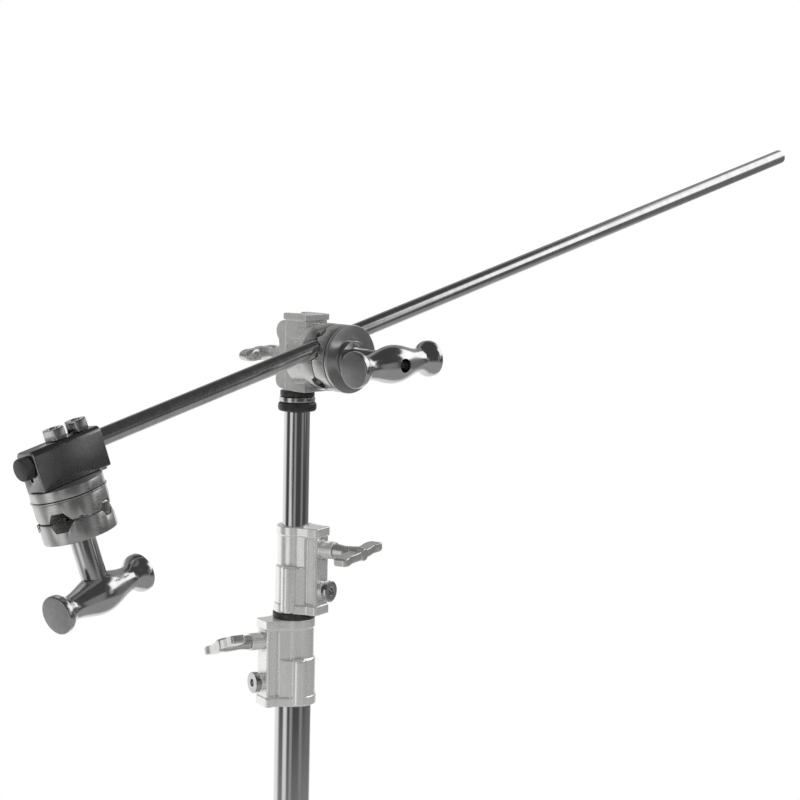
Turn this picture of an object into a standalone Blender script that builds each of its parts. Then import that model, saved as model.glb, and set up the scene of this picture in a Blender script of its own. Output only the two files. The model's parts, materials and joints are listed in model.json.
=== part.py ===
"""A grip stand with a boom arm: folding legs, two risers, a grip head, the arm and its end head.

The origin is on the stand's axis, at the underside of the base cap. +Z is up, and the arm runs along X,
rising towards +X. The feet stand below the origin.
Every length is in metres and every angle in degrees.
"""

import math

import bmesh
import bpy
from mathutils import Matrix, Vector

# Clearances between pieces that meet
FIT = 0.0003
EDGE = 0.0008

# Tubes of the column
COLUMN_RADIUS = 0.0175
COLUMN_WALL = 0.0015
RISER_2_RADIUS = 0.015
RISER_2_WALL = 0.0014
RISER_1_RADIUS = 0.0125
RISER_1_WALL = 0.0014
RISER_2_LENGTH = 1.09
RISER_2_CLEARANCE = 0.0042
RISER_1_FOOT = 0.156
RISER_1_DRAWN = 0.11
GUIDE_LENGTH = 0.018
GUIDE_SPIGOT = 0.02

# Base: three hubs stacked on the foot of the column, each with a bent leg
HUB_RADIUS = 0.0265
HUB_HEIGHT = 0.037
HUB_ARM_RADIUS = 0.0162
HUB_ARM_REACH = 0.062
LEG_RADIUS = 0.0125
LEG_WALL = 0.0015
LEG_START = 0.031
LEG_BEND_AT = 0.078
LEG_SLOPE = 45.0
LEG_BEND_RADIUS = 0.045
LEG_REACH = 0.47
LEG_PIN_RADIUS = 0.0025
LEG_PIN_AT = 0.047
FOOT_RADIUS = 0.0155
FOOT_LENGTH = 0.036
FOOT_END = 0.003
LEG_AZIMUTHS = {"low": -90.0, "mid": 30.0, "high": 150.0}
BASE_CAP_RADIUS = 0.024
BASE_CAP_HEIGHT = 0.013
BASE_CAP_SPIGOT = 0.03
FLOOR_DROP = 0.0647
STOP_RING_HEIGHT = 0.012

# Collars that clamp the risers
COLLAR_HEIGHT = 0.084
COLLAR_SEAT = 0.048
COLLAR_WALL = 0.0045
COLLAR_FLARE = 0.0017
COLLAR_LIP = 0.001
COLLAR_LIP_HEIGHT = 0.0085
COLLAR_SHOULDER = 0.038
COLLAR_PAD_STAND = 0.0128
COLLAR_PAD_DEPTH = 0.0111
COLLAR_PAD_WIDTH = 0.022
COLLAR_PAD_CHAMFER = 0.0015
COLLAR_BARREL_START = 52.0
COLLAR_RIB_RADIUS = 0.0068
COLLAR_RIB_DEPTH = 0.0025
COLLAR_RIB_SHIFT = 0.0037
UPPER_COLLAR_AZIMUTH = -76.8
LOWER_COLLAR_AZIMUTH = 165.2
KNOB_DROP = 0.0205
SCREW_DROP = 0.0605
BOSS_RADIUS = 0.0085
KNOB_BOSS_LENGTH = 0.0143
SCREW_BOSS_LENGTH = 0.0045
SCREW_RADIUS = 0.004
SCREW_HEAD_RADIUS = 0.0102
SCREW_HEAD_HEIGHT = 0.006
SCREW_SOCKET_RADIUS = 0.0035
SCREW_SOCKET_DEPTH = 0.0035
BUMPER_HEIGHT = 0.0056
BUMPER_WIDTH = 0.0055

# Wing knobs
KNOB_HUB_RADIUS = 0.0072
KNOB_HUB_LENGTH = 0.0175
WING_DEPTH = 0.016
COLLAR_WING_SPAN = 0.068
COLLAR_WING_THICKNESS = 0.008
HEAD_WING_SPAN = 0.048
HEAD_WING_THICKNESS = 0.0115
STUD_RADIUS = 0.004
PAD_RADIUS = 0.0036
PAD_THICKNESS = 0.002
KNOB_TURNS = {"lower": 22.0, "upper": 6.0, "head": -5.0}

# Top of the first riser: cap, spigot and washer, measured down from the disc axis
BODY_BOTTOM_DROP = 0.035
PIN_WASHER_HEIGHT = 0.0057
PIN_WASHER_RADIUS = 0.0165
PIN_RADIUS = 0.00794
PIN_ABOVE_AXIS = 0.03
PIN_FLANGE_RADIUS = 0.0172
PIN_FLANGE_HEIGHT = 0.0046
PIN_STEM = 0.034
RISER_CAP_RADIUS = 0.0185
RISER_CAP_HEIGHT = 0.0088

# Grip body
BODY_TOP = 0.039
BODY_WIDTH = 0.028
BODY_FRONT = 0.0245
BODY_REAR = 0.003
BODY_LIP = 0.0015
BODY_LIP_HEIGHT = 0.006
BACK_WIDTH = 0.021
SEAT_RADIUS = 0.0295
SEAT_FACE = 0.0358
HEAD_KNOB_DROP = 0.004
HEAD_KNOB_BOSS_RADIUS = 0.0085
HEAD_KNOB_BOSS_END = 0.027

# Clamping discs, plate and T-handle of a head
DISC_RADIUS = 0.03175
DISC_THICKNESS = 0.0152
DISC_CHAMFER = 0.0012
BOLT_RADIUS = 0.005
HEAD_PARTING = 0.052
PARTING_GAP = 0.0008
ARM_OFFSET = 0.0159
WASHER_RADIUS = 0.0295
WASHER_THICKNESS = 0.0009
PLATE_RADIUS = 0.03195
PLATE_THICKNESS = 0.0035
HANDLE_STANDOFF = 0.0535
HANDLE_LENGTH = 0.1
HANDLE_END_RADIUS = 0.0168
HANDLE_NECK_RADIUS = 0.0109
HANDLE_WAIST_RADIUS = 0.0176
HANDLE_RIM = 0.004
HANDLE_HOLE_RADIUS = 0.0065
STEM_RADIUS = 0.011
STEM_FLANGE_RADIUS = 0.0175
STEM_FLANGE_HEIGHT = 0.004
HEAD_HANDLE_TURN = -11.1
SMALL_BAR_RADIUS = 0.0048
MIDDLE_BAR_RADIUS = 0.00635
WIRE_BAR_RADIUS = 0.002
SMALL_BAR_OFFSET = 0.0133
MIDDLE_BAR_OFFSET = 0.0152

# Arm and end head
ARM_RADIUS = 0.00794
ARM_ELEVATION = 14.27
ARM_TIP = 0.7453
ARM_TIP_CHAMFER = 0.0012
END_HEAD_AT = 0.3245
END_HEAD_LEAN = 8.8
BRACKET_LEFT = 0.030
BRACKET_RIGHT = 0.0405
BRACKET_SHEET = 0.003
BRACKET_SKIRT = 0.0225
BRACKET_BEND = 0.005
BRACKET_SLOT_WIDTH = 0.0044
BRACKET_SLOT_DROP = 0.0135
SADDLE_WALL = 0.0013
END_CAP_RADIUS = 0.0098
END_CAP_LENGTH = 0.0082
END_CAP_WALL = 0.0015
SET_SCREWS_AT = {"outer": 0.0035, "inner": 0.0265}
SET_SCREW_RADIUS = 0.005
SET_HEAD_RADIUS = 0.0104
SET_HEAD_HEIGHT = 0.0095
SET_HEAD_DISH = 0.0015
END_BASE_THICKNESS = 0.0088
END_RING_RADIUS = 0.0327
END_RING_THICKNESS = 0.0012
END_DISC_THICKNESS = 0.0162
END_PARTING_GAP = 0.0013
END_LOWER_THICKNESS = 0.0182
END_HANDLE_STANDOFF = 0.0531
END_HANDLE_TURN = -6.4
SPRING_WIRE = 0.0006
SPRING_WIDTH = 0.0014
SPRING_AZIMUTH = 203.0
SPRING_TAIL = 0.0065

# Faceting of round pieces
ROUND = 20
DISC_SIDES = 32
HANDLE_SIDES = 20
SMALL_ROUND = 16
TINY_ROUND = 12
PIN_SIDES = 8
WELD_DISTANCE = 0.00001

FINISHES = {
    "chromed steel": ((0.62, 0.62, 0.63), 0.12, 1.0),
    "satin casting": ((0.58, 0.58, 0.57), 0.38, 1.0),
    "bright casting": ((0.78, 0.78, 0.77), 0.3, 1.0),
    "blackened steel": ((0.045, 0.045, 0.048), 0.3, 0.8),
    "black rubber": ((0.02, 0.02, 0.02), 0.6, 0.0),
    "black plastic": ((0.03, 0.03, 0.03), 0.45, 0.0),
    "brass": ((0.7, 0.5, 0.22), 0.35, 1.0),
}

# Heights that follow from the sizes above
COLUMN_BORE = COLUMN_RADIUS - COLUMN_WALL
RISER_2_BORE = RISER_2_RADIUS - RISER_2_WALL
RISER_1_BORE = RISER_1_RADIUS - RISER_1_WALL
HUB_BORE = COLUMN_RADIUS + FIT
HUB_LOWEST = BASE_CAP_HEIGHT + FIT
HUB_PITCH = HUB_HEIGHT + FIT
STOP_RING_BOTTOM = HUB_LOWEST + 3 * HUB_PITCH
RISER_2_BOTTOM = BASE_CAP_HEIGHT + BASE_CAP_SPIGOT + RISER_2_CLEARANCE + GUIDE_LENGTH + FIT
RISER_2_TOP = RISER_2_BOTTOM + RISER_2_LENGTH
UPPER_COLLAR_BOTTOM = RISER_2_TOP - COLLAR_SEAT
UPPER_COLLAR_TOP = UPPER_COLLAR_BOTTOM + COLLAR_HEIGHT
LOWER_COLLAR_TOP = UPPER_COLLAR_BOTTOM - BUMPER_HEIGHT - 2 * FIT
LOWER_COLLAR_BOTTOM = LOWER_COLLAR_TOP - COLLAR_HEIGHT
COLUMN_TOP = LOWER_COLLAR_BOTTOM + COLLAR_SEAT
RISER_1_BOTTOM = RISER_2_BOTTOM + RISER_1_FOOT
RISER_1_TOP = UPPER_COLLAR_TOP + RISER_1_DRAWN
RISER_CAP_BOTTOM = RISER_1_TOP + FIT
RISER_CAP_TOP = RISER_CAP_BOTTOM + RISER_CAP_HEIGHT
PIN_FLANGE_BOTTOM = RISER_CAP_TOP + FIT
PIN_FLANGE_TOP = PIN_FLANGE_BOTTOM + PIN_FLANGE_HEIGHT
PIN_WASHER_BOTTOM = PIN_FLANGE_TOP + FIT
DISC_AXIS_HEIGHT = PIN_WASHER_BOTTOM + PIN_WASHER_HEIGHT + FIT + BODY_BOTTOM_DROP

# Stations along the clamping axis of the grip head, from the stand's axis
INNER_DISC_BACK = SEAT_FACE + FIT
INNER_DISC_FACE = HEAD_PARTING - PARTING_GAP / 2
OUTER_DISC_FACE = HEAD_PARTING + PARTING_GAP / 2
OUTER_DISC_FRONT = OUTER_DISC_FACE + DISC_THICKNESS
WASHER_FRONT = OUTER_DISC_FRONT + FIT + WASHER_THICKNESS
PLATE_BACK = WASHER_FRONT + FIT
PLATE_FRONT = PLATE_BACK + PLATE_THICKNESS

# Stations along the axis of the end head, from the arm's axis
SADDLE_HALF = ARM_RADIUS + FIT + SADDLE_WALL
BRACKET_TOP = SADDLE_HALF + FIT + BRACKET_SHEET
BRACKET_HALF_WIDTH = BRACKET_TOP
END_BASE_TOP = BRACKET_SKIRT + FIT
END_BASE_FACE = END_BASE_TOP + END_BASE_THICKNESS
END_RING_FACE = END_BASE_FACE + FIT + END_RING_THICKNESS
END_UPPER_BACK = END_RING_FACE + FIT
END_UPPER_FACE = END_UPPER_BACK + END_DISC_THICKNESS
END_LOWER_FACE = END_UPPER_FACE + END_PARTING_GAP
END_LOWER_FRONT = END_LOWER_FACE + END_LOWER_THICKNESS
END_PARTING = (END_UPPER_FACE + END_LOWER_FACE) / 2


def clear_scene():
    """Remove what the file opened with."""
    for old in list(bpy.data.objects):
        bpy.data.objects.remove(old, do_unlink=True)


def finish(name, look):
    """A material of its own for one piece."""
    colour, roughness, metallic = FINISHES[look]
    material = bpy.data.materials.new(name + "_finish")
    material.use_nodes = True
    shader = material.node_tree.nodes["Principled BSDF"]
    shader.inputs["Base Color"].default_value = (*colour, 1.0)
    shader.inputs["Roughness"].default_value = roughness
    shader.inputs["Metallic"].default_value = metallic
    return material


def frame(name, location=(0, 0, 0), rotation=(0, 0, 0), parent=None):
    """An empty that carries pieces, with its rotation given in degrees."""
    empty = bpy.data.objects.new(name, None)
    empty.location = location
    empty.rotation_euler = [math.radians(angle) for angle in rotation]
    empty.parent = parent
    bpy.context.collection.objects.link(empty)
    return empty


def add_object(name, shape, parent):
    """Turn a bmesh into a smoothly shaded object under its frame."""
    bmesh.ops.recalc_face_normals(shape, faces=shape.faces)
    mesh = bpy.data.meshes.new(name)
    shape.to_mesh(mesh)
    shape.free()
    mesh.shade_smooth()
    mesh.set_sharp_from_angle(angle=math.radians(32))
    body = bpy.data.objects.new(name, mesh)
    body.parent = parent
    bpy.context.collection.objects.link(body)
    return body


def piece(name, shape, look, parent):
    """A finished piece: its object and its material."""
    body = add_object(name, shape, parent)
    body.data.materials.append(finish(name, look))
    return body


def tool(name, shape, parent):
    """A shape that only cuts or joins, left out of the render."""
    body = add_object(name, shape, parent)
    body.hide_render = True
    body.display_type = "WIRE"
    return body


def combine(body, others, operation):
    """Join other shapes on, or cut them away, in one step."""
    group = bpy.data.collections.new(body.name + "_" + operation.lower())
    for other in others:
        group.objects.link(other)
    step = body.modifiers.new(group.name, "BOOLEAN")
    step.operation = operation
    step.solver = "EXACT"
    step.operand_type = "COLLECTION"
    step.collection = group
    weld = body.modifiers.new(group.name + "_weld", "WELD")
    weld.merge_threshold = WELD_DISTANCE


def join(body, *others):
    """Make other shapes part of this piece."""
    combine(body, others, "UNION")


def cut(body, *others):
    """Cut other shapes out of this piece."""
    combine(body, others, "DIFFERENCE")


def ring_of(shape, radius, z, sides, turn):
    """One ring of vertices, or none on the axis."""
    if radius == 0:
        return []
    angles = [turn + 2 * math.pi * k / sides for k in range(sides)]
    return [shape.verts.new((radius * math.cos(a), radius * math.sin(a), z)) for a in angles]


def bridge(shape, lower, upper):
    """Faces between two rings, or one flat face where either of them is on the axis."""
    if not lower or not upper:
        shape.faces.new(lower or upper)
        return
    for k in range(len(lower)):
        after = (k + 1) % len(lower)
        shape.faces.new((lower[k], lower[after], upper[after], upper[k]))


def turned(profile, sides=ROUND, turn=0.0):
    """A shape turned about Z from (radius, z) points: axis to axis, or a closed loop round a bore."""
    shape = bmesh.new()
    rings = [ring_of(shape, radius, z, sides, turn) for radius, z in profile]
    pairs = list(zip(rings, rings[1:]))
    if profile[0][0] > 0:
        pairs.append((rings[-1], rings[0]))
    for lower, upper in pairs:
        bridge(shape, lower, upper)
    return shape


def rod(radius, bottom, top, sides=ROUND, chamfer=0.0, turn=0.0):
    """A solid cylinder, with chamfered ends where asked."""
    if chamfer:
        profile = [(0, bottom), (radius - chamfer, bottom), (radius, bottom + chamfer)]
        profile += [(radius, top - chamfer), (radius - chamfer, top), (0, top)]
    else:
        profile = [(0, bottom), (radius, bottom), (radius, top), (0, top)]
    return turned(profile, sides, turn)


def sleeve(inner, outer, bottom, top, sides=ROUND, chamfer=0.0):
    """A tube or a ring, with its outer edges chamfered where asked."""
    if chamfer:
        profile = [(inner, bottom), (outer - chamfer, bottom), (outer, bottom + chamfer)]
        profile += [(outer, top - chamfer), (outer - chamfer, top), (inner, top)]
    else:
        profile = [(inner, bottom), (outer, bottom), (outer, top), (inner, top)]
    return turned(profile, sides)


def stacked(outlines):
    """A solid through a stack of flat outlines, given as (z, points) with as many points in each."""
    shape = bmesh.new()
    rings = [[shape.verts.new((x, y, z)) for x, y in points] for z, points in outlines]
    for lower, upper in zip(rings, rings[1:]):
        bridge(shape, lower, upper)
    shape.faces.new(rings[0])
    shape.faces.new(rings[-1])
    return shape


def slab(points, bottom, top):
    """A flat outline raised from bottom to top."""
    return stacked([(bottom, points), (top, points)])


def block(low, high):
    """A box between two corners."""
    corners = [(low[0], low[1]), (high[0], low[1]), (high[0], high[1]), (low[0], high[1])]
    return slab(corners, low[2], high[2])


def moved(shape, matrix):
    """The shape, placed by a matrix."""
    bmesh.ops.transform(shape, matrix=matrix, verts=shape.verts)
    return shape


def along_x(shape, at=(0, 0, 0)):
    """Lay a shape made along Z out along +X."""
    return moved(shape, Matrix.Translation(at) @ Matrix.Rotation(math.radians(90), 4, "Y"))


def along_y(shape, at=(0, 0, 0)):
    """Lay a shape made along Z out along +Y."""
    return moved(shape, Matrix.Translation(at) @ Matrix.Rotation(math.radians(-90), 4, "X"))


def arc(centre, radius, start, end, steps):
    """Points on an arc, with angles in degrees."""
    angles = [math.radians(start + (end - start) * k / steps) for k in range(steps + 1)]
    return [(centre[0] + radius * math.cos(a), centre[1] + radius * math.sin(a)) for a in angles]


def swept_tube(path, radius, wall, sides):
    """A bent tube along a path of (x, z) points in the XZ plane."""
    shape = bmesh.new()
    points = [Vector((x, 0, z)) for x, z in path]
    across = Vector((0, 1, 0))
    outer, inner = [], []
    for k, point in enumerate(points):
        before = (point - points[k - 1]).normalized() if k else None
        after = (points[k + 1] - point).normalized() if k + 1 < len(points) else None
        heading = ((before or after) + (after or before)).normalized()
        normal = heading.cross(across)
        miter = 1 / normal.dot((after or before).cross(across))
        for rings, size in ((outer, radius), (inner, radius - wall)):
            turns = [2 * math.pi * (i + 0.5) / sides for i in range(sides)]
            rings.append([shape.verts.new(point + across * size * math.cos(t)
                                          + normal * miter * size * math.sin(t)) for t in turns])
    for rings in (outer, inner):
        for lower, upper in zip(rings, rings[1:]):
            bridge(shape, lower, upper)
    bridge(shape, outer[0], inner[0])
    bridge(shape, outer[-1], inner[-1])
    return shape


def leg_path(hub_height):
    """The leg's centre line: out of the hub, down the slope and along the floor."""
    slope = math.radians(LEG_SLOPE)
    tangent = LEG_BEND_RADIUS * math.tan(slope / 2)
    drop = hub_height + FLOOR_DROP - FOOT_RADIUS
    run = drop / math.tan(slope)
    upper_bend = (LEG_BEND_AT, -LEG_BEND_RADIUS)
    foot_x = LEG_BEND_AT + tangent + run
    lower_bend = (foot_x + tangent, -drop + LEG_BEND_RADIUS)
    path = [(LEG_START + FIT, 0.0)]
    path += arc(upper_bend, LEG_BEND_RADIUS, 90, 90 - LEG_SLOPE, 2)
    path += arc(lower_bend, LEG_BEND_RADIUS, 270 - LEG_SLOPE, 270, 2)
    path.append((LEG_REACH - FOOT_END - FIT, -drop))
    return path


def build_leg(level, place):
    """One hub with its leg, its cross pin and its foot."""
    hub_height = HUB_LOWEST + HUB_HEIGHT / 2 + place * HUB_PITCH
    carrier = frame("leg_frame_" + level, (0, 0, hub_height), (0, 0, LEG_AZIMUTHS[level]))
    half = HUB_HEIGHT / 2
    hub = piece("leg_hub_" + level, rod(HUB_RADIUS, -half, half, ROUND, EDGE), "bright casting", carrier)
    arm = tool("leg_arm_" + level, along_x(rod(HUB_ARM_RADIUS, COLUMN_RADIUS, HUB_ARM_REACH, SMALL_ROUND, EDGE)), carrier)
    bore = tool("hub_bore_" + level, rod(HUB_BORE, -HUB_HEIGHT, HUB_HEIGHT), carrier)
    socket = along_x(rod(LEG_RADIUS + FIT, LEG_START, HUB_ARM_REACH * 2, TINY_ROUND, turn=math.pi / TINY_ROUND))
    socket = tool("leg_socket_" + level, socket, carrier)
    pin_hole = rod(LEG_PIN_RADIUS + FIT, -HUB_ARM_RADIUS * 2, HUB_ARM_RADIUS * 2, PIN_SIDES)
    pin_hole = tool("leg_pin_hole_" + level, along_y(pin_hole, (LEG_PIN_AT, 0, 0)), carrier)
    join(hub, arm)
    cut(hub, bore, socket, pin_hole)
    tube = swept_tube(leg_path(hub_height), LEG_RADIUS, LEG_WALL, TINY_ROUND)
    tube = piece("leg_tube_" + level, tube, "chromed steel", carrier)
    cut(tube, pin_hole)
    pin = rod(LEG_PIN_RADIUS, -HUB_ARM_RADIUS - FIT, HUB_ARM_RADIUS + FIT, PIN_SIDES, EDGE / 2)
    piece("leg_pin_" + level, along_y(pin, (LEG_PIN_AT, 0, 0)), "chromed steel", carrier)
    facet = 1 / math.cos(math.pi / TINY_ROUND)
    inner, outer = (LEG_RADIUS + FIT) * facet, FOOT_RADIUS * facet
    start, end = LEG_REACH - FOOT_LENGTH, LEG_REACH
    profile = [(inner, start), (outer, start), (outer, end - EDGE), (outer - EDGE, end)]
    profile += [(0, end), (0, end - FOOT_END), (inner, end - FOOT_END)]
    cap = bmesh.new()
    rings = [ring_of(cap, radius, z, TINY_ROUND, math.pi / TINY_ROUND) for radius, z in profile]
    for lower, upper in ((0, 1), (1, 2), (2, 3), (3, 4), (5, 6), (6, 0)):
        bridge(cap, rings[lower], rings[upper])
    drop = hub_height + FLOOR_DROP - FOOT_RADIUS
    piece("leg_foot_" + level, along_x(cap, (0, 0, -drop)), "black rubber", carrier)


def build_column():
    """The fixed tube, what closes its foot, and the ring that holds the hubs down."""
    ground = frame("stand_frame")
    piece("column_tube", sleeve(COLUMN_BORE, COLUMN_RADIUS, HUB_LOWEST, COLUMN_TOP), "chromed steel", ground)
    spigot, top = COLUMN_BORE - FIT, BASE_CAP_HEIGHT + BASE_CAP_SPIGOT
    profile = [(0, 0), (BASE_CAP_RADIUS - EDGE, 0), (BASE_CAP_RADIUS, EDGE)]
    profile += [(BASE_CAP_RADIUS, BASE_CAP_HEIGHT), (spigot, BASE_CAP_HEIGHT), (spigot, top), (0, top)]
    piece("base_cap", turned(profile), "satin casting", ground)
    ring_top = STOP_RING_BOTTOM + STOP_RING_HEIGHT
    ring = sleeve(HUB_BORE, BASE_CAP_RADIUS, STOP_RING_BOTTOM, ring_top, ROUND, EDGE)
    piece("hub_stop_ring", ring, "satin casting", ground)
    return ground


def riser(name, outer, wall, bottom, top, passage, parent):
    """One sliding tube with the guide that steadies its lower end."""
    piece(name + "_tube", sleeve(outer - wall, outer, bottom, top), "chromed steel", parent)
    guide, spigot = passage - FIT, outer - wall - FIT
    low, high = bottom - FIT - GUIDE_LENGTH, bottom - FIT
    profile = [(0, low), (guide - EDGE, low), (guide, low + EDGE), (guide, high)]
    profile += [(spigot, high), (spigot, high + GUIDE_SPIGOT), (0, high + GUIDE_SPIGOT)]
    piece(name + "_guide", turned(profile), "black plastic", parent)


def collar_outline(radius, pad_distance, grow):
    """Plan of a collar: a round barrel with a flat-faced lug on its +X side."""
    half, pad = COLLAR_PAD_WIDTH / 2 + grow, pad_distance + grow
    side = [(pad, half - COLLAR_PAD_CHAMFER), (pad - COLLAR_PAD_CHAMFER, half), (pad - COLLAR_PAD_DEPTH, half)]
    barrel = arc((0, 0), radius + grow, COLLAR_BARREL_START, 360 - COLLAR_BARREL_START, 10)
    return side + barrel + [(x, -y) for x, y in reversed(side)]


def wing_knob(name, parent, start, span, thickness):
    """A wing knob along +X, from its boss outwards."""
    depth, half = WING_DEPTH / 2, span / 2
    middle = start + KNOB_HUB_LENGTH + depth
    hub = [(0, start), (KNOB_HUB_RADIUS, start), (KNOB_HUB_RADIUS * 0.85, start + KNOB_HUB_LENGTH * 0.6)]
    hub += [(KNOB_HUB_RADIUS, middle), (KNOB_HUB_RADIUS * 0.8, middle + depth), (0, middle + depth)]
    knob = piece(name, along_x(turned(hub, SMALL_ROUND)), "bright casting", parent)
    one_side = [(0.0, -0.9), (0.45, -0.8), (0.75, -1.0), (1.0, -0.75), (1.0, 0.8)]
    one_side += [(0.85, 1.0), (0.6, 0.7), (0.35, 0.9), (0.0, 0.9)]
    outline = [(middle + depth * rise, half * out) for out, rise in one_side]
    outline += [(middle + depth * rise, -half * out) for out, rise in reversed(one_side[1:-1])]
    wings = tool(name + "_wings", slab(outline, -thickness / 2, thickness / 2), parent)
    join(knob, wings)
    return knob


def clamp_screw(label, parent, tube_radius, knob_start, span, thickness):
    """The wing knob of one clamp, its stud and the pad that presses the tube."""
    pad_start = tube_radius + FIT
    pad_end = pad_start + PAD_THICKNESS
    piece("clamp_pad_" + label, along_x(rod(PAD_RADIUS, pad_start, pad_end, TINY_ROUND)), "brass", parent)
    stud_end = knob_start + KNOB_HUB_LENGTH * 0.5
    stud = rod(STUD_RADIUS, pad_end + FIT, stud_end, TINY_ROUND, EDGE / 2)
    piece("wing_stud_" + label, along_x(stud), "chromed steel", parent)
    knob = wing_knob("wing_knob_" + label, parent, knob_start + FIT, span, thickness)
    well = rod(STUD_RADIUS + FIT, knob_start - EDGE, stud_end + FIT, TINY_ROUND)
    cut(knob, tool("knob_well_" + label, along_x(well), parent))


def build_collar(label, top, azimuth, lower_radius, upper_radius):
    """A cast collar: seated on the tube below, clamping the tube above, with its knob and its screw."""
    collar = frame("collar_frame_" + label, (0, 0, top), (0, 0, azimuth))
    upper = upper_radius + COLLAR_WALL
    lower = upper + COLLAR_FLARE
    pad = lower + COLLAR_PAD_STAND
    levels = [(-COLLAR_HEIGHT, lower, COLLAR_LIP), (-COLLAR_HEIGHT + COLLAR_LIP_HEIGHT, lower, COLLAR_LIP)]
    levels += [(-COLLAR_HEIGHT + COLLAR_LIP_HEIGHT, lower, 0.0), (-COLLAR_SHOULDER - COLLAR_FLARE, lower, 0.0)]
    levels += [(-COLLAR_SHOULDER, upper, 0.0), (-COLLAR_LIP_HEIGHT, upper, 0.0)]
    levels += [(-COLLAR_LIP_HEIGHT, upper, COLLAR_LIP), (0.0, upper, COLLAR_LIP)]
    shape = stacked([(z, collar_outline(radius, pad, grow)) for z, radius, grow in levels])
    body = piece("collar_" + label, shape, "bright casting", collar)
    name = "_" + label
    knob_face, screw_face = pad + KNOB_BOSS_LENGTH, pad + SCREW_BOSS_LENGTH
    knob_height, screw_height = -KNOB_DROP, -SCREW_DROP
    added = []
    for side in (-1, 1):
        rib = rod(COLLAR_RIB_RADIUS, -COLLAR_HEIGHT + EDGE, -COLLAR_SHOULDER, TINY_ROUND, EDGE)
        rib = moved(rib, Matrix.Translation((COLLAR_RIB_SHIFT, side * (lower - COLLAR_RIB_DEPTH), 0)))
        added.append(tool("collar_rib_%d%s" % (side, name), rib, collar))
    boss = along_x(rod(BOSS_RADIUS, lower_radius, knob_face, SMALL_ROUND, EDGE), (0, 0, knob_height))
    added.append(tool("knob_boss" + name, boss, collar))
    boss = along_x(rod(BOSS_RADIUS, lower_radius, screw_face, SMALL_ROUND, EDGE), (0, 0, screw_height))
    added.append(tool("screw_boss" + name, boss, collar))
    join(body, *added)
    seat_top = -COLLAR_HEIGHT + COLLAR_SEAT + FIT
    seat = rod(lower_radius + FIT, -COLLAR_HEIGHT * 2, seat_top)
    bore = rod(upper_radius + FIT, seat_top - EDGE, COLLAR_HEIGHT)
    removed = [tool("collar_seat" + name, seat, collar), tool("collar_bore" + name, bore, collar)]
    hole = along_x(rod(STUD_RADIUS + FIT, 0.0, knob_face * 2, TINY_ROUND), (0, 0, knob_height))
    removed.append(tool("knob_hole" + name, hole, collar))
    hole = along_x(rod(SCREW_RADIUS + FIT, 0.0, screw_face * 2, TINY_ROUND), (0, 0, screw_height))
    removed.append(tool("screw_hole" + name, hole, collar))
    cut(body, *removed)
    knob_frame = frame("knob_frame" + name, (0, 0, knob_height), (KNOB_TURNS[label], 0, 0), collar)
    clamp_screw(label, knob_frame, upper_radius, knob_face, COLLAR_WING_SPAN, COLLAR_WING_THICKNESS)
    start, end = screw_face + FIT, screw_face + FIT + SCREW_HEAD_HEIGHT
    tip = lower_radius + FIT
    profile = [(0, tip), (SCREW_RADIUS, tip), (SCREW_RADIUS, start), (SCREW_HEAD_RADIUS, start)]
    profile += [(SCREW_HEAD_RADIUS, end - EDGE), (SCREW_HEAD_RADIUS - 2 * EDGE, end), (SCREW_SOCKET_RADIUS, end)]
    profile += [(SCREW_SOCKET_RADIUS, end - SCREW_SOCKET_DEPTH), (0, end - SCREW_SOCKET_DEPTH)]
    screw = along_x(turned(profile, HANDLE_SIDES), (0, 0, screw_height))
    piece("collar_screw" + name, screw, "chromed steel", collar)


def build_column_top(stand):
    """What the first riser carries: its cap, the spigot and the washer under the grip body."""
    stem = RISER_1_BORE - FIT
    cap = sleeve(stem + FIT, RISER_CAP_RADIUS, RISER_CAP_BOTTOM, RISER_CAP_TOP, ROUND, EDGE)
    piece("riser_cap", cap, "black rubber", stand)
    tip = DISC_AXIS_HEIGHT + PIN_ABOVE_AXIS
    profile = [(0, PIN_FLANGE_BOTTOM - PIN_STEM), (stem, PIN_FLANGE_BOTTOM - PIN_STEM), (stem, PIN_FLANGE_BOTTOM)]
    profile += [(PIN_FLANGE_RADIUS, PIN_FLANGE_BOTTOM), (PIN_FLANGE_RADIUS, PIN_FLANGE_TOP - EDGE)]
    profile += [(PIN_FLANGE_RADIUS - EDGE, PIN_FLANGE_TOP), (PIN_RADIUS, PIN_FLANGE_TOP)]
    profile += [(PIN_RADIUS, tip - EDGE), (PIN_RADIUS - EDGE, tip), (0, tip)]
    piece("baby_pin", turned(profile), "chromed steel", stand)
    top = PIN_WASHER_BOTTOM + PIN_WASHER_HEIGHT
    washer = sleeve(PIN_RADIUS + FIT, PIN_WASHER_RADIUS, PIN_WASHER_BOTTOM, top, ROUND, EDGE)
    piece("pin_washer", washer, "black rubber", stand)


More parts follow.
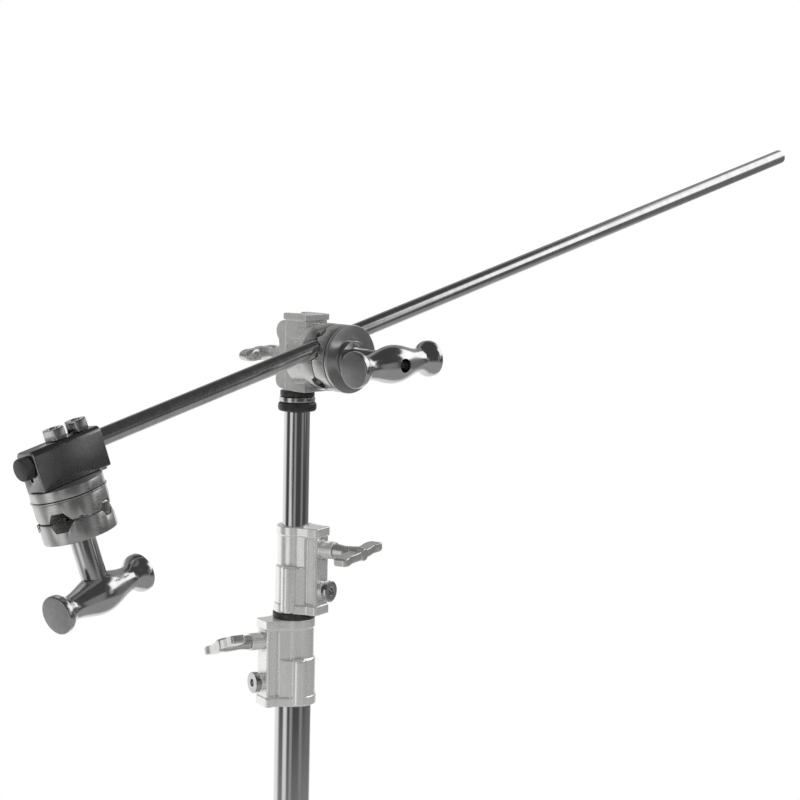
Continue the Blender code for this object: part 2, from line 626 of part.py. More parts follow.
def build_grip_body(head):
    """The casting on the spigot, with the round seat of the discs and the lobed back that holds the knob."""
    half, bottom = BODY_WIDTH / 2, -BODY_BOTTOM_DROP
    lip = BODY_TOP - BODY_LIP_HEIGHT
    shape = block((-half, -BODY_FRONT, bottom), (half, BODY_REAR, lip + EDGE))
    body = piece("grip_body", shape, "satin casting", head)
    shape = block((-half - BODY_LIP, -BODY_FRONT - BODY_LIP, lip), (half + BODY_LIP, BODY_REAR + BODY_LIP, BODY_TOP))
    plate = tool("body_lip", shape, head)
    upper, lower = BACK_WIDTH / 2, BACK_WIDTH * 0.43
    back = [(0.0, bottom + EDGE)]
    back += arc((BODY_REAR + lower * 0.9, bottom + lower + EDGE), lower, -90, 60, 5)
    back += arc((BODY_REAR + upper * 0.6, lip - upper - BODY_LIP), upper, -50, 90, 6)
    back.append((0.0, lip - BODY_LIP))
    turned_back = Matrix.Rotation(math.radians(90), 4, "Z") @ Matrix.Rotation(math.radians(90), 4, "X")
    lobes = tool("body_back", moved(slab(back, -upper, upper), turned_back), head)
    seat = rod(SEAT_RADIUS, BODY_FRONT / 2, SEAT_FACE, DISC_SIDES, EDGE)
    seat = tool("disc_seat", moved(seat, Matrix.Rotation(math.radians(90), 4, "X")), head)
    boss = rod(HEAD_KNOB_BOSS_RADIUS, PIN_RADIUS, HEAD_KNOB_BOSS_END, SMALL_ROUND, EDGE)
    boss = tool("head_knob_boss", along_y(boss, (0, 0, -HEAD_KNOB_DROP)), head)
    receiver = tool("pin_receiver", rod(PIN_RADIUS + FIT, bottom * 2, BODY_TOP * 2), head)
    bolt_hole = rod(BOLT_RADIUS + FIT, PIN_RADIUS, SEAT_FACE * 2, SMALL_ROUND)
    bolt_hole = tool("bolt_hole", moved(bolt_hole, Matrix.Rotation(math.radians(90), 4, "X")), head)
    stud_hole = rod(STUD_RADIUS + FIT, 0.0, HEAD_KNOB_BOSS_END * 2, TINY_ROUND)
    stud_hole = tool("head_stud_hole", along_y(stud_hole, (0, 0, -HEAD_KNOB_DROP)), head)
    join(body, plate, lobes, seat, boss)
    cut(body, receiver, bolt_hole, stud_hole)
    knob = frame("head_knob_frame", (0, 0, -HEAD_KNOB_DROP), (KNOB_TURNS["head"], 0, 90), head)
    clamp_screw("head", knob, PIN_RADIUS, HEAD_KNOB_BOSS_END, HEAD_WING_SPAN, HEAD_WING_THICKNESS)


def groove(name, parent, parting, direction, offset, bar):
    """A six-sided channel across a pair of discs, sized for a round bar."""
    deep = bar + FIT
    wide, narrow = deep / math.cos(math.radians(30)), deep * math.tan(math.radians(30))
    section = [(-wide, 0), (-narrow, -deep), (narrow, -deep), (wide, 0), (narrow, deep), (-narrow, deep)]
    shape = slab(section, -2 * DISC_RADIUS, 2 * DISC_RADIUS)
    lay = Matrix.Rotation(math.radians(90), 4, "X")
    place = Matrix.Rotation(math.radians(direction), 4, "Z") @ Matrix.Translation((offset, 0, parting))
    return tool(name, moved(shape, place @ lay), parent)


def disc(name, parent, bottom, top, channels):
    """One clamping disc with the channels cut across its inner face."""
    shape = sleeve(BOLT_RADIUS + FIT, DISC_RADIUS, bottom, top, DISC_SIDES, DISC_CHAMFER)
    body = piece(name, shape, "satin casting", parent)
    cut(body, *channels)


def bar_radius(along):
    """Radius of the T-handle's bar, from 0 at its middle to 1 at its end."""
    neck = 0.75
    if along < neck:
        swing = 0.5 - 0.5 * math.cos(math.pi * along / neck)
        return HANDLE_WAIST_RADIUS + (HANDLE_NECK_RADIUS - HANDLE_WAIST_RADIUS) * swing
    swing = 0.5 - 0.5 * math.cos(math.pi * (along - neck) / (1 - neck))
    return HANDLE_NECK_RADIUS + (HANDLE_END_RADIUS - HANDLE_NECK_RADIUS) * swing


def handle(label, parent, seat, bar_at, turn, flange):
    """A T-handle: the stem that bears on the discs and the waisted bar across it."""
    grip = frame(label + "_handle_frame", (0, 0, bar_at), (0, 0, turn), parent)
    half = HANDLE_LENGTH / 2
    rim = half - HANDLE_RIM
    stations = [k / 5 for k in range(-5, 6)]
    profile = [(0, -half), (HANDLE_END_RADIUS - EDGE, -half), (HANDLE_END_RADIUS, -half + EDGE)]
    profile += [(bar_radius(abs(s)), rim * s) for s in stations]
    profile += [(HANDLE_END_RADIUS, half - EDGE), (HANDLE_END_RADIUS - EDGE, half), (0, half)]
    bar = piece(label + "_handle_bar", along_x(turned(profile, HANDLE_SIDES)), "chromed steel", grip)
    sunk = HANDLE_WAIST_RADIUS * 0.45
    well = tool(label + "_stem_well", rod(STEM_RADIUS + FIT, -2 * HANDLE_WAIST_RADIUS, -sunk, HANDLE_SIDES), grip)
    eye = rod(HANDLE_HOLE_RADIUS, -2 * HANDLE_WAIST_RADIUS, 2 * HANDLE_WAIST_RADIUS, SMALL_ROUND)
    eye = tool(label + "_handle_eye", eye, grip)
    cut(bar, well, eye)
    bore = BOLT_RADIUS + FIT
    bottom, top = seat + FIT - bar_at, -sunk - FIT
    profile = [(bore, bottom), (flange, bottom), (flange, bottom + STEM_FLANGE_HEIGHT)]
    profile += [(STEM_RADIUS, bottom + STEM_FLANGE_HEIGHT), (STEM_RADIUS, top), (bore, top)]
    if flange == STEM_RADIUS:
        profile = [(bore, bottom), (STEM_RADIUS, bottom), (STEM_RADIUS, top), (bore, top)]
    piece(label + "_handle_stem", turned(profile, HANDLE_SIDES), "chromed steel", grip)
    return bar_at - sunk - 2 * FIT


def build_grip_head(head):
    """The grip head: its body, and the discs, washer, plate and handle along the clamping axis."""
    build_grip_body(head)
    tilt = frame("tilt_frame", (0, 0, 0), (90, 0, 0), head)
    discs = frame("disc_frame", (0, 0, 0), (0, 0, ARM_ELEVATION), tilt)
    channels = [
        groove("arm_channel", discs, HEAD_PARTING, 90, ARM_OFFSET, ARM_RADIUS),
        groove("small_channel", discs, HEAD_PARTING, 180, SMALL_BAR_OFFSET, SMALL_BAR_RADIUS),
        groove("middle_channel", discs, HEAD_PARTING, 273, MIDDLE_BAR_OFFSET, MIDDLE_BAR_RADIUS),
        groove("wire_channel", discs, HEAD_PARTING, 0, SMALL_BAR_OFFSET, WIRE_BAR_RADIUS),
    ]
    disc("head_disc_inner", discs, INNER_DISC_BACK, INNER_DISC_FACE, channels)
    disc("head_disc_outer", discs, OUTER_DISC_FACE, OUTER_DISC_FRONT, channels)
    bore = BOLT_RADIUS + FIT
    washer = sleeve(bore, WASHER_RADIUS, OUTER_DISC_FRONT + FIT, WASHER_FRONT, DISC_SIDES)
    piece("head_washer", washer, "black plastic", discs)
    plate = sleeve(bore, PLATE_RADIUS, PLATE_BACK, PLATE_FRONT, DISC_SIDES, EDGE)
    piece("head_plate", plate, "satin casting", discs)
    bar_at = PLATE_FRONT + HANDLE_STANDOFF
    bolt_end = handle("head", discs, PLATE_FRONT, bar_at, HEAD_HANDLE_TURN, STEM_FLANGE_RADIUS)
    bolt = rod(BOLT_RADIUS, PIN_RADIUS + 4 * FIT, bolt_end, SMALL_ROUND, EDGE)
    piece("head_clamp_bolt", bolt, "chromed steel", tilt)
    return discs


def build_bracket(end, screw_holes):
    """The bent sheet that caps the arm's end: a top, two skirts and two drilled ends."""
    left, right, half = -BRACKET_LEFT, BRACKET_RIGHT, BRACKET_HALF_WIDTH
    bend = BRACKET_BEND
    outline = [(-half, -BRACKET_SKIRT)] + arc((-half + bend, BRACKET_TOP - bend), bend, 180, 90, 4)
    outline += arc((half - bend, BRACKET_TOP - bend), bend, 90, 0, 4) + [(half, -BRACKET_SKIRT)]
    stand_up = Matrix.Rotation(math.radians(90), 4, "Y") @ Matrix.Rotation(math.radians(90), 4, "Z")
    upside = Matrix.Rotation(math.radians(180), 4, "X")
    shape = moved(slab(outline, left, right), upside @ stand_up)
    bracket = piece("end_bracket", shape, "blackened steel", end)
    inner = half - BRACKET_SHEET
    hollow = block((left + BRACKET_SHEET, -inner, -inner), (right - BRACKET_SHEET, inner, BRACKET_SKIRT * 2))
    hollow = tool("bracket_hollow", hollow, end)
    passage = along_x(rod(ARM_RADIUS + FIT, left * 2, right * 2, ROUND))
    passage = tool("bracket_passage", passage, end)
    slot = BRACKET_SLOT_WIDTH / 2
    keyway = block((left * 2, -slot, 0.0), (left / 2, slot, BRACKET_SLOT_DROP))
    cut(bracket, hollow, passage, tool("bracket_keyway", keyway, end), *screw_holes)


def build_end_head(arm):
    """The head at the arm's end: saddle, bracket, set screws, ring, discs and handle."""
    end = frame("end_frame", (-END_HEAD_AT, 0, 0), (90 - END_HEAD_LEAN, 0, 0), arm)
    screw_holes = []
    for label, centre in SET_SCREWS_AT.items():
        hole = rod(SET_SCREW_RADIUS + FIT, -BRACKET_TOP * 2, 0.0, SMALL_ROUND)
        hole = moved(hole, Matrix.Translation((centre, 0, 0)))
        screw_holes.append(tool("set_screw_hole_" + label, hole, end))
        build_set_screw("end_set_screw_" + label, end, centre)
    build_bracket(end, screw_holes)
    left, right = -BRACKET_LEFT + BRACKET_SHEET + FIT, BRACKET_RIGHT - BRACKET_SHEET - FIT
    shape = block((left, -SADDLE_HALF, -SADDLE_HALF), (right, SADDLE_HALF, END_BASE_TOP + 2 * EDGE))
    saddle = piece("end_saddle", shape, "satin casting", end)
    base = rod(DISC_RADIUS, END_BASE_TOP, END_BASE_FACE, DISC_SIDES, EDGE)
    join(saddle, tool("saddle_base", base, end))
    passage = along_x(rod(ARM_RADIUS + FIT, -BRACKET_LEFT * 2, BRACKET_RIGHT * 2, ROUND))
    passage = tool("saddle_passage", passage, end)
    bolt_hole = rod(BOLT_RADIUS + FIT, 0.0, END_BASE_FACE * 2, SMALL_ROUND)
    cut(saddle, passage, tool("saddle_bolt_hole", bolt_hole, end), *screw_holes)
    ring = sleeve(BOLT_RADIUS + FIT, END_RING_RADIUS, END_BASE_FACE + FIT, END_RING_FACE, DISC_SIDES)
    piece("end_ring", ring, "satin casting", end)
    channels = [
        groove("end_arm_channel", end, END_PARTING, 90, ARM_OFFSET, ARM_RADIUS),
        groove("end_wire_channel", end, END_PARTING, 180, SMALL_BAR_OFFSET, WIRE_BAR_RADIUS),
        groove("end_small_channel", end, END_PARTING, 270, MIDDLE_BAR_OFFSET, SMALL_BAR_RADIUS),
        groove("end_middle_channel", end, END_PARTING, 0, SMALL_BAR_OFFSET, MIDDLE_BAR_RADIUS),
    ]
    disc("end_disc_upper", end, END_UPPER_BACK, END_UPPER_FACE, channels)
    disc("end_disc_lower", end, END_LOWER_FACE, END_LOWER_FRONT, channels)
    build_parting_spring(end)
    bar_at = END_LOWER_FRONT + END_HANDLE_STANDOFF
    bolt_end = handle("end", end, END_LOWER_FRONT, bar_at, END_HANDLE_TURN, STEM_RADIUS)
    bolt = rod(BOLT_RADIUS, ARM_RADIUS + 2 * FIT, bolt_end, SMALL_ROUND, EDGE)
    piece("end_clamp_bolt", bolt, "chromed steel", end)


def build_set_screw(name, end, centre):
    """One set screw through the bracket onto the arm, with a dished hexagon head."""
    seat = -BRACKET_TOP - FIT
    crown = seat - SET_HEAD_HEIGHT
    steps = [(SET_SCREW_RADIUS, -ARM_RADIUS - FIT), (SET_SCREW_RADIUS, seat), (SET_HEAD_RADIUS, seat)]
    steps += [(SET_HEAD_RADIUS, crown + EDGE), (SET_HEAD_RADIUS - EDGE, crown)]
    steps += [(SET_SCREW_RADIUS, crown), (SET_SCREW_RADIUS, crown + SET_HEAD_DISH)]
    outlines = []
    for radius, z in steps:
        flat = radius if radius == SET_SCREW_RADIUS else radius * math.cos(math.pi / 6)
        angles = [2 * math.pi * k / TINY_ROUND for k in range(TINY_ROUND)]
        reach = [flat if k % 2 else radius for k in range(TINY_ROUND)]
        outlines.append((z, [(r * math.cos(a), r * math.sin(a)) for r, a in zip(reach, angles)]))
    piece(name, moved(stacked(outlines), Matrix.Translation((centre, 0, 0))), "chromed steel", end)


def build_parting_spring(end):
    """A wire leaf that parts the end head's discs, with its tail bent over the rim."""
    low = (END_UPPER_FACE + END_LOWER_FACE - SPRING_WIRE) / 2
    high = low + SPRING_WIRE
    eye = sleeve(BOLT_RADIUS + FIT, BOLT_RADIUS + FIT + SPRING_WIDTH, low, high, SMALL_ROUND)
    spin = Matrix.Rotation(math.radians(SPRING_AZIMUTH), 4, "Z")
    spring = piece("end_disc_spring", moved(eye, spin), "blackened steel", end)
    inner, outer = BOLT_RADIUS + FIT + SPRING_WIDTH / 2, DISC_RADIUS + 2 * FIT + SPRING_WIRE
    half = SPRING_WIDTH / 2
    leaf = moved(block((inner, -half, low), (outer, half, high)), spin)
    tail = moved(block((outer - SPRING_WIRE, -half, low), (outer, half, low + SPRING_TAIL)), spin)
    join(spring, tool("spring_leaf", leaf, end), tool("spring_tail", tail, end))


def build_arm(discs):
    """The boom arm with its end cap, and the head that it carries."""
    arm = frame("arm_frame", (0, ARM_OFFSET, HEAD_PARTING), (0, 0, 0), discs)
    cap_start = -END_HEAD_AT - BRACKET_LEFT - FIT
    cap_end = cap_start - END_CAP_LENGTH
    rod_end = cap_end + END_CAP_WALL + FIT
    piece("arm_rod", along_x(rod(ARM_RADIUS, rod_end, ARM_TIP, ROUND, ARM_TIP_CHAMFER)), "chromed steel", arm)
    bore = ARM_RADIUS + FIT
    cap = bmesh.new()
    profile = [(bore, cap_start), (END_CAP_RADIUS, cap_start), (END_CAP_RADIUS, cap_end + 2 * EDGE)]
    profile += [(END_CAP_RADIUS - 2 * EDGE, cap_end), (0, cap_end), (0, rod_end - FIT), (bore, rod_end - FIT)]
    rings = [ring_of(cap, radius, z, ROUND, 0.0) for radius, z in profile]
    for lower, upper in ((0, 1), (1, 2), (2, 3), (3, 4), (5, 6), (6, 0)):
        bridge(cap, rings[lower], rings[upper])
    piece("arm_end_cap", along_x(cap), "blackened steel", arm)
    build_end_head(arm)


def main():
    """Build the whole stand from the floor up."""
    clear_scene()
    stand = build_column()
    for place, level in enumerate(LEG_AZIMUTHS):
        build_leg(level, place)
    riser("riser_2", RISER_2_RADIUS, RISER_2_WALL, RISER_2_BOTTOM, RISER_2_TOP, COLUMN_BORE, stand)
    riser("riser_1", RISER_1_RADIUS, RISER_1_WALL, RISER_1_BOTTOM, RISER_1_TOP, RISER_2_BORE, stand)
    build_collar("lower", LOWER_COLLAR_TOP, LOWER_COLLAR_AZIMUTH, COLUMN_RADIUS, RISER_2_RADIUS)
    build_collar("upper", UPPER_COLLAR_TOP, UPPER_COLLAR_AZIMUTH, RISER_2_RADIUS, RISER_1_RADIUS)
    bore = RISER_2_RADIUS + FIT
    low = LOWER_COLLAR_TOP + FIT
    bumper = sleeve(bore, bore + BUMPER_WIDTH, low, low + BUMPER_HEIGHT, ROUND, EDGE)
    piece("bumper_ring", bumper, "black rubber", stand)
    build_column_top(stand)
    head = frame("head_frame", (0, 0, DISC_AXIS_HEIGHT))
    discs = build_grip_head(head)
    build_arm(discs)


main()
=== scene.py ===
"""Looks of a grip stand with a boom arm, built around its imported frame."""

import json
import math

import bmesh
import bpy
from bpy.props import FloatProperty, FloatVectorProperty, PointerProperty
from bpy.types import Operator, Panel, PropertyGroup
from mathutils import Matrix, Vector


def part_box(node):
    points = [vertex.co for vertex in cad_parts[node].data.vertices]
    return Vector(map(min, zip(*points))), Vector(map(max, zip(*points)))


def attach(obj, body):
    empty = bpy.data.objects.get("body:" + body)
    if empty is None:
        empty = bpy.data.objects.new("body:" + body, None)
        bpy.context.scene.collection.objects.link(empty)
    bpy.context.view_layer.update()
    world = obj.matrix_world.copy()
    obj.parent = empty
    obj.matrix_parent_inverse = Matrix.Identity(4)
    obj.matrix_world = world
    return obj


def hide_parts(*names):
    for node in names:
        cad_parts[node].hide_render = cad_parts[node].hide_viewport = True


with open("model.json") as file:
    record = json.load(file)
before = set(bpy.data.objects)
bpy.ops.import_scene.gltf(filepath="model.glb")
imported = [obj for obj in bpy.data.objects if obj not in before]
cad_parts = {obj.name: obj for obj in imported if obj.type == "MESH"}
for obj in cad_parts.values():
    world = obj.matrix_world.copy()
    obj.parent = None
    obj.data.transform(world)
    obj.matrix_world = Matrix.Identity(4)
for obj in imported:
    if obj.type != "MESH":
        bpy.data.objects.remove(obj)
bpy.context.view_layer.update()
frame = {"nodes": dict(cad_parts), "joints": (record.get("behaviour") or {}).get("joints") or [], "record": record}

bl_info = {
    "name": "Grip stand with boom arm",
    "version": (1, 0, 0),
    "blender": (4, 5, 0),
    "location": "3D View > Sidebar > Grip stand",
    "description": "Dresses the packed grip stand, its boom arm and its heads, and sets the stage",
    "category": "Object",
}

RECORD = frame["record"]
JOINTS = {joint["name"]: joint for joint in frame["joints"]}
BODY_OF = {node: body for body, nodes in RECORD["behaviour"]["bodies"].items() for node in nodes}

UP = Vector((0, 0, 1))

# Clearance between fitting faces, how far shapes that are joined reach into each other,
# and how far a cutter runs to pass right through a piece
FIT = 0.0003
OVERLAP = 0.001
THROUGH = 0.1

# Faceting of the dressed pieces
FINEST = 128
FINE = 96
MEDIUM = 64
SMALL = 40
BEND_STEPS = 10

# Which corners are left sharp, and how much of a side the rounding of a corner may take
TINY = 1e-9
LEAST_REACH = 1e-6
STRAIGHT = 0.999
CORNER_SHARE = 0.45

# The angle between faces from which an edge stays sharp, by kind of piece
SHARP = 32.0
CAST_SHARP = 60.0
KNOB_SHARP = 50.0
HANDLE_SHARP = 30.0

# Sizes that the pieces share with the frame
BASE_CAP = {"inset": 0.0015, "rim": 0.013}
COLLAR = {
    "height": 0.084, "seat": 0.048, "wall": 0.0045, "flare": 0.0017, "lip": 0.001, "lip_height": 0.0085,
    "shoulder": 0.038, "pad_stand": 0.0128, "pad_depth": 0.0111, "pad_width": 0.022, "pad_chamfer": 0.0015,
    "barrel_start": 52.0, "rib_radius": 0.0068, "rib_depth": 0.0025, "rib_shift": 0.0037, "rib_lift": 0.0008,
    "knob_drop": 0.0205, "screw_drop": 0.0605, "boss_radius": 0.0085, "knob_boss": 0.0143,
    "screw_boss": 0.0045,
}
# The sunk panel on each side of a collar's lug, and the groove at the lug's root
LUG = {
    "sunk": 0.0013, "out": 0.004, "margin": 0.0015, "back": 0.0008, "front": 0.0022,
    "groove_radius": 0.0016, "groove_shift": 0.0002,
}
SCREW_RADIUS = 0.004
SCREW_HEAD_RADIUS = 0.0102
SCREW_HEAD_HEIGHT = 0.006
SOCKET_RADIUS = 0.0035
SOCKET_DEPTH = 0.0035
PAD_THICKNESS = 0.002
STUD_RADIUS = 0.004
STUD_SHARE = 0.5
KNOB_HUB = {"radius": 0.0072, "length": 0.0175, "neck": 0.85, "neck_at": 0.6, "end": 0.8}
WING_DEPTH = 0.016
WING_CORNER = 0.0022
# Half of a wing's outline, as (out, rise) in shares of its half span and half depth
WING_SIDE = [
    (0.0, -0.9), (0.45, -0.8), (0.75, -1.0), (1.0, -0.75), (1.0, 0.8),
    (0.85, 1.0), (0.6, 0.7), (0.35, 0.9), (0.0, 0.9),
]
# Heights through a wing, from -1 to 1, with the share of its outline there
FLAT_WING = [(-1, 0.94), (-0.7, 1.0), (0.7, 1.0), (1, 0.94)]
ROUND_WING = [(-1, 0.72), (-0.75, 0.88), (-0.4, 0.97), (0, 1.0), (0.4, 0.97), (0.75, 0.88), (1, 0.72)]
KNOBS = {
    "lower": {"turn": 22.0, "span": 0.068, "thickness": 0.008, "layers": FLAT_WING, "smooth": 4},
    "upper": {"turn": 6.0, "span": 0.068, "thickness": 0.008, "layers": FLAT_WING, "smooth": 4},
    "head": {"turn": -5.0, "span": 0.048, "thickness": 0.0115, "layers": ROUND_WING, "smooth": 14},
}
# The middle head's body, with its back lobes in shares of their radius and its width
BODY = {
    "bottom": -0.035, "top": 0.039, "width": 0.028, "front": 0.0245, "rear": 0.003, "lip": 0.0015,
    "lip_height": 0.006, "back_width": 0.021, "seat_radius": 0.0295, "seat_face": 0.0358,
    "knob_drop": 0.004, "knob_boss_radius": 0.0085, "knob_boss_end": 0.027,
    "stud_hole": 0.06, "seam": 0.0008, "lower_lobe": 0.43, "lower_out": 0.9, "upper_out": 0.6,
}
PIN_RADIUS = 0.00794
BOLT_RADIUS = 0.005
DISC_CHAMFER = 0.0012
HEAD_WASHER_RADIUS = 0.0295
HEAD_PLATE_RADIUS = 0.03195
END_RING = {"radius": 0.0327, "thickness": 0.0012}
PARTING = 0.052
ARM_OFFSET = 0.0159
# Channels across each head's discs: direction in degrees, distance from the middle, radius of the bar
CHANNELS = {
    "head": [(90, ARM_OFFSET, 0.00794), (180, 0.0133, 0.0048), (273, 0.0152, 0.00635), (0, 0.0133, 0.002)],
    "end": [(90, ARM_OFFSET, 0.00794), (180, 0.0133, 0.002), (270, 0.0152, 0.0048), (0, 0.0133, 0.00635)],
}
HANDLE_RIM = 0.004
HANDLE_CORNER = 0.0012
HANDLE_NECK = 0.75
HANDLE_STEPS = 36
HANDLE_TURN = {"head": -11.1, "end": -6.4}
HANDLE_STANDOFF = {"head": 0.0535, "end": 0.0531}
STEM_RADIUS = 0.011
STEM_SUNK = 0.45
STEM_FLANGE_RADIUS = 0.0175
STEM_FLANGE_HEIGHT = 0.004
ARM_CAP = {"radius": 0.0098, "length": 0.0082, "end": 0.0015}
BRACKET = {
    "left": 0.030, "right": 0.0405, "sheet": 0.003, "skirt": 0.0225, "bend": 0.005,
    "slot": 0.0044, "slot_drop": 0.0135,
}
SADDLE_WALL = 0.0013
SADDLE_OVERLAP = 0.0016
SET_SCREWS_AT = {"outer": 0.0035, "inner": 0.0265}
SET_SCREW_RADIUS = 0.005
SET_SCREW_SUNK = 0.0015
SET_HEAD_RADIUS = 0.0104
SET_HEAD_HEIGHT = 0.0095
END_BASE_THICKNESS = 0.0088
END_PLACES = {"upper": 0.0333, "upper_face": 0.0495, "lower": 0.0508, "lower_front": 0.069}
LEG = {
    "radius": 0.0125, "wall": 0.0015, "start": 0.031, "bend_at": 0.078, "slope": 45.0, "bend": 0.045,
    "foot_radius": 0.0155, "foot_length": 0.036, "foot_end": 0.003, "reach": 0.47, "floor": -0.0647,
    "hub_radius": 0.0265, "hub_height": 0.037, "arm_radius": 0.0162, "arm_start": 0.0175, "arm_reach": 0.062,
    "pin_at": 0.047, "pin_radius": 0.0025, "pin_half": 0.0165, "pin_hole_half": 0.04,
    "azimuths": {"low": -90.0, "mid": 30.0, "high": 150.0},
}


def size(node, axis):
    """Extent of a node's box along one axis."""
    low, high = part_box(node)
    return high[axis] - low[axis]


def placement(x, z, at):
    """A placement whose X and Z run along two directions."""
    matrix = Matrix((x, z.cross(x), z)).transposed().to_4x4()
    matrix.translation = at
    return matrix


def joint_axis(name):
    """Where a hinge sits and which way it points."""
    joint = JOINTS[name]
    return Vector(joint.get("pos_m", (0, 0, 0))), Vector(joint["axis"]).normalized()


HEAD_AT = joint_axis("head_swivel")[0]
ARM_LINE = joint_axis("arm_slide")[1]
DISC_PLACE = placement(ARM_LINE, Vector((0, -1, 0)), HEAD_AT)
ARM_PLACE = DISC_PLACE @ Matrix.Translation((0, ARM_OFFSET, PARTING))
END_AT, END_AXIS = joint_axis("end_head_swivel")
END_PLACE = placement(ARM_LINE, END_AXIS, END_AT)


# Shapes


def rounded(points, radius, steps=3, closed=False):
    """The outline with each of its corners turned into a small arc."""
    made = []
    count = len(points)
    for k, point in enumerate(points):
        here = Vector(point)
        if not closed and k in (0, count - 1):
            made.append(tuple(here))
            continue
        before, after = Vector(points[k - 1]) - here, Vector(points[(k + 1) % count]) - here
        reach = min(radius, before.length * CORNER_SHARE, after.length * CORNER_SHARE)
        agree = abs(before.normalized().dot(after.normalized()))
        straight = min(before.length, after.length) < TINY or agree > STRAIGHT
        if straight or reach < LEAST_REACH:
            made.append(tuple(here))
            continue
        start, end = here + before.normalized() * reach, here + after.normalized() * reach
        for s in range(steps + 1):
            t = s / steps
            made.append(tuple(start * (1 - t) ** 2 + here * 2 * t * (1 - t) + end * t ** 2))
    return made


def skin(shape, lower, upper):
    """Faces between two rings of points, either of which may be a single point."""
    for k in range(max(len(lower), len(upper))):
        spots = ((lower, k), (lower, k + 1), (upper, k + 1), (upper, k))
        corners = list(dict.fromkeys(ring[i % len(ring)] for ring, i in spots))
        if len(corners) > 2:
            shape.faces.new(corners)


def turned(profile, sides=FINE, soften=0.0004):
    """A shape turned about Z from (radius, z) points: axis to axis, or a closed loop round a bore."""
    ring_shaped = profile[0][0] > 0
    shape = bmesh.new()
    turns = [2 * math.pi * k / sides for k in range(sides)]
    rings = []
    for radius, z in rounded(profile, soften, 3, ring_shaped):
        if radius < TINY:
            rings.append([shape.verts.new((0, 0, z))])
        else:
            rings.append([shape.verts.new((radius * math.cos(a), radius * math.sin(a), z)) for a in turns])
    for lower, upper in zip(rings, rings[1:]):
        skin(shape, lower, upper)
    if ring_shaped:
        skin(shape, rings[-1], rings[0])
    return shape


def rod(radius, bottom, top, sides=MEDIUM, soften=0.0):
    """A solid cylinder."""
    return turned([(0, bottom), (radius, bottom), (radius, top), (0, top)], sides, soften)


def sleeve(inner, outer, bottom, top, sides=FINE, soften=0.0004):
    """A tube or a ring."""
    return turned([(inner, bottom), (outer, bottom), (outer, top), (inner, top)], sides, soften)


def stacked(outlines):
    """A solid through a stack of flat outlines, given as (z, points) with as many points in each."""
    shape = bmesh.new()
    rings = [[shape.verts.new((x, y, z)) for x, y in points] for z, points in outlines]
    for lower, upper in zip(rings, rings[1:]):
        skin(shape, lower, upper)
    shape.faces.new(rings[0])
    shape.faces.new(rings[-1])
    return shape


def slab(points, bottom, top):
    """A flat outline raised from bottom to top."""
    return stacked([(bottom, points), (top, points)])


def block(low, high):
    """A box between two corners, for joining or cutting."""
    corners = [(low[0], low[1]), (high[0], low[1]), (high[0], high[1]), (low[0], high[1])]
    return slab(corners, low[2], high[2])


def moved(shape, matrix):
    """The shape, placed by a matrix."""
    bmesh.ops.transform(shape, matrix=matrix, verts=shape.verts)
    return shape


def turn(angle, axis):
    """A turn about one axis, in degrees."""
    return Matrix.Rotation(math.radians(angle), 4, axis)


def along_x(shape, at=(0, 0, 0)):
    """Lay a shape made along Z out along +X."""
    return moved(shape, Matrix.Translation(at) @ turn(90, "Y"))


def along_y(shape, at=(0, 0, 0)):
    """Lay a shape made along Z out along +Y."""
    return moved(shape, Matrix.Translation(at) @ turn(-90, "X"))


def arc(centre, radius, start, end, steps):
    """Points on an arc, with angles in degrees."""
    angles = [math.radians(start + (end - start) * k / steps) for k in range(steps + 1)]
    return [(centre[0] + radius * math.cos(a), centre[1] + radius * math.sin(a)) for a in angles]


def solid(name, shape, place=None):
    """An object from a bmesh, put where the frame has it."""
    if place is not None:
        bmesh.ops.transform(shape, matrix=place, verts=shape.verts)
    bmesh.ops.recalc_face_normals(shape, faces=shape.faces)
    mesh = bpy.data.meshes.new(name)
    shape.to_mesh(mesh)
    shape.free()
    body = bpy.data.objects.new(name, mesh)
    bpy.context.scene.collection.objects.link(body)
    return body


def settle(body):
    """Write an object's modifiers into its mesh."""
    bpy.context.view_layer.update()
    graph = bpy.context.evaluated_depsgraph_get()
    mesh = bpy.data.meshes.new_from_object(body.evaluated_get(graph), depsgraph=graph)
    body.modifiers.clear()
    old = body.data
    body.data = mesh
    bpy.data.meshes.remove(old)
    mesh.name = body.name
    return body


def combine(body, shapes, place, operation):
    """Join shapes on, or cut them away, in one step."""
    group = bpy.data.collections.new(body.name + "_" + operation.lower())
    tools = [solid("%s_tool_%d" % (body.name, k), shape, place) for k, shape in enumerate(shapes)]
    for tool in tools:
        group.objects.link(tool)
    step = body.modifiers.new(group.name, "BOOLEAN")
    step.operation = operation
    step.solver = "EXACT"
    step.operand_type = "COLLECTION"
    step.collection = group
    weld = body.modifiers.new("weld", "WELD")
    weld.merge_threshold = 0.00001
    settle(body)
    for tool in tools:
        mesh = tool.data
        bpy.data.objects.remove(tool)
        bpy.data.meshes.remove(mesh)
    bpy.data.collections.remove(group)
    return body


def softened(body, width, segments=2, angle=35.0):
    """Round an object's edges a little, as a file or a tumbler does."""
    bevel = body.modifiers.new("edges", "BEVEL")
    bevel.width = width
    bevel.segments = segments
    bevel.limit_method = "ANGLE"
    bevel.angle_limit = math.radians(angle)
    bevel.use_clamp_overlap = True
    return settle(body)


def cast(body, voxel, smooth, keep):
    """Give an object the rounded edges and inner corners of a casting."""
    remesh = body.modifiers.new("skin", "REMESH")
    remesh.mode = "VOXEL"
    remesh.voxel_size = voxel
    relax = body.modifiers.new("relax", "SMOOTH")
    relax.factor = 0.5
    relax.iterations = smooth
    thin = body.modifiers.new("thin", "DECIMATE")
    thin.ratio = keep
    return settle(body)


# Finishes


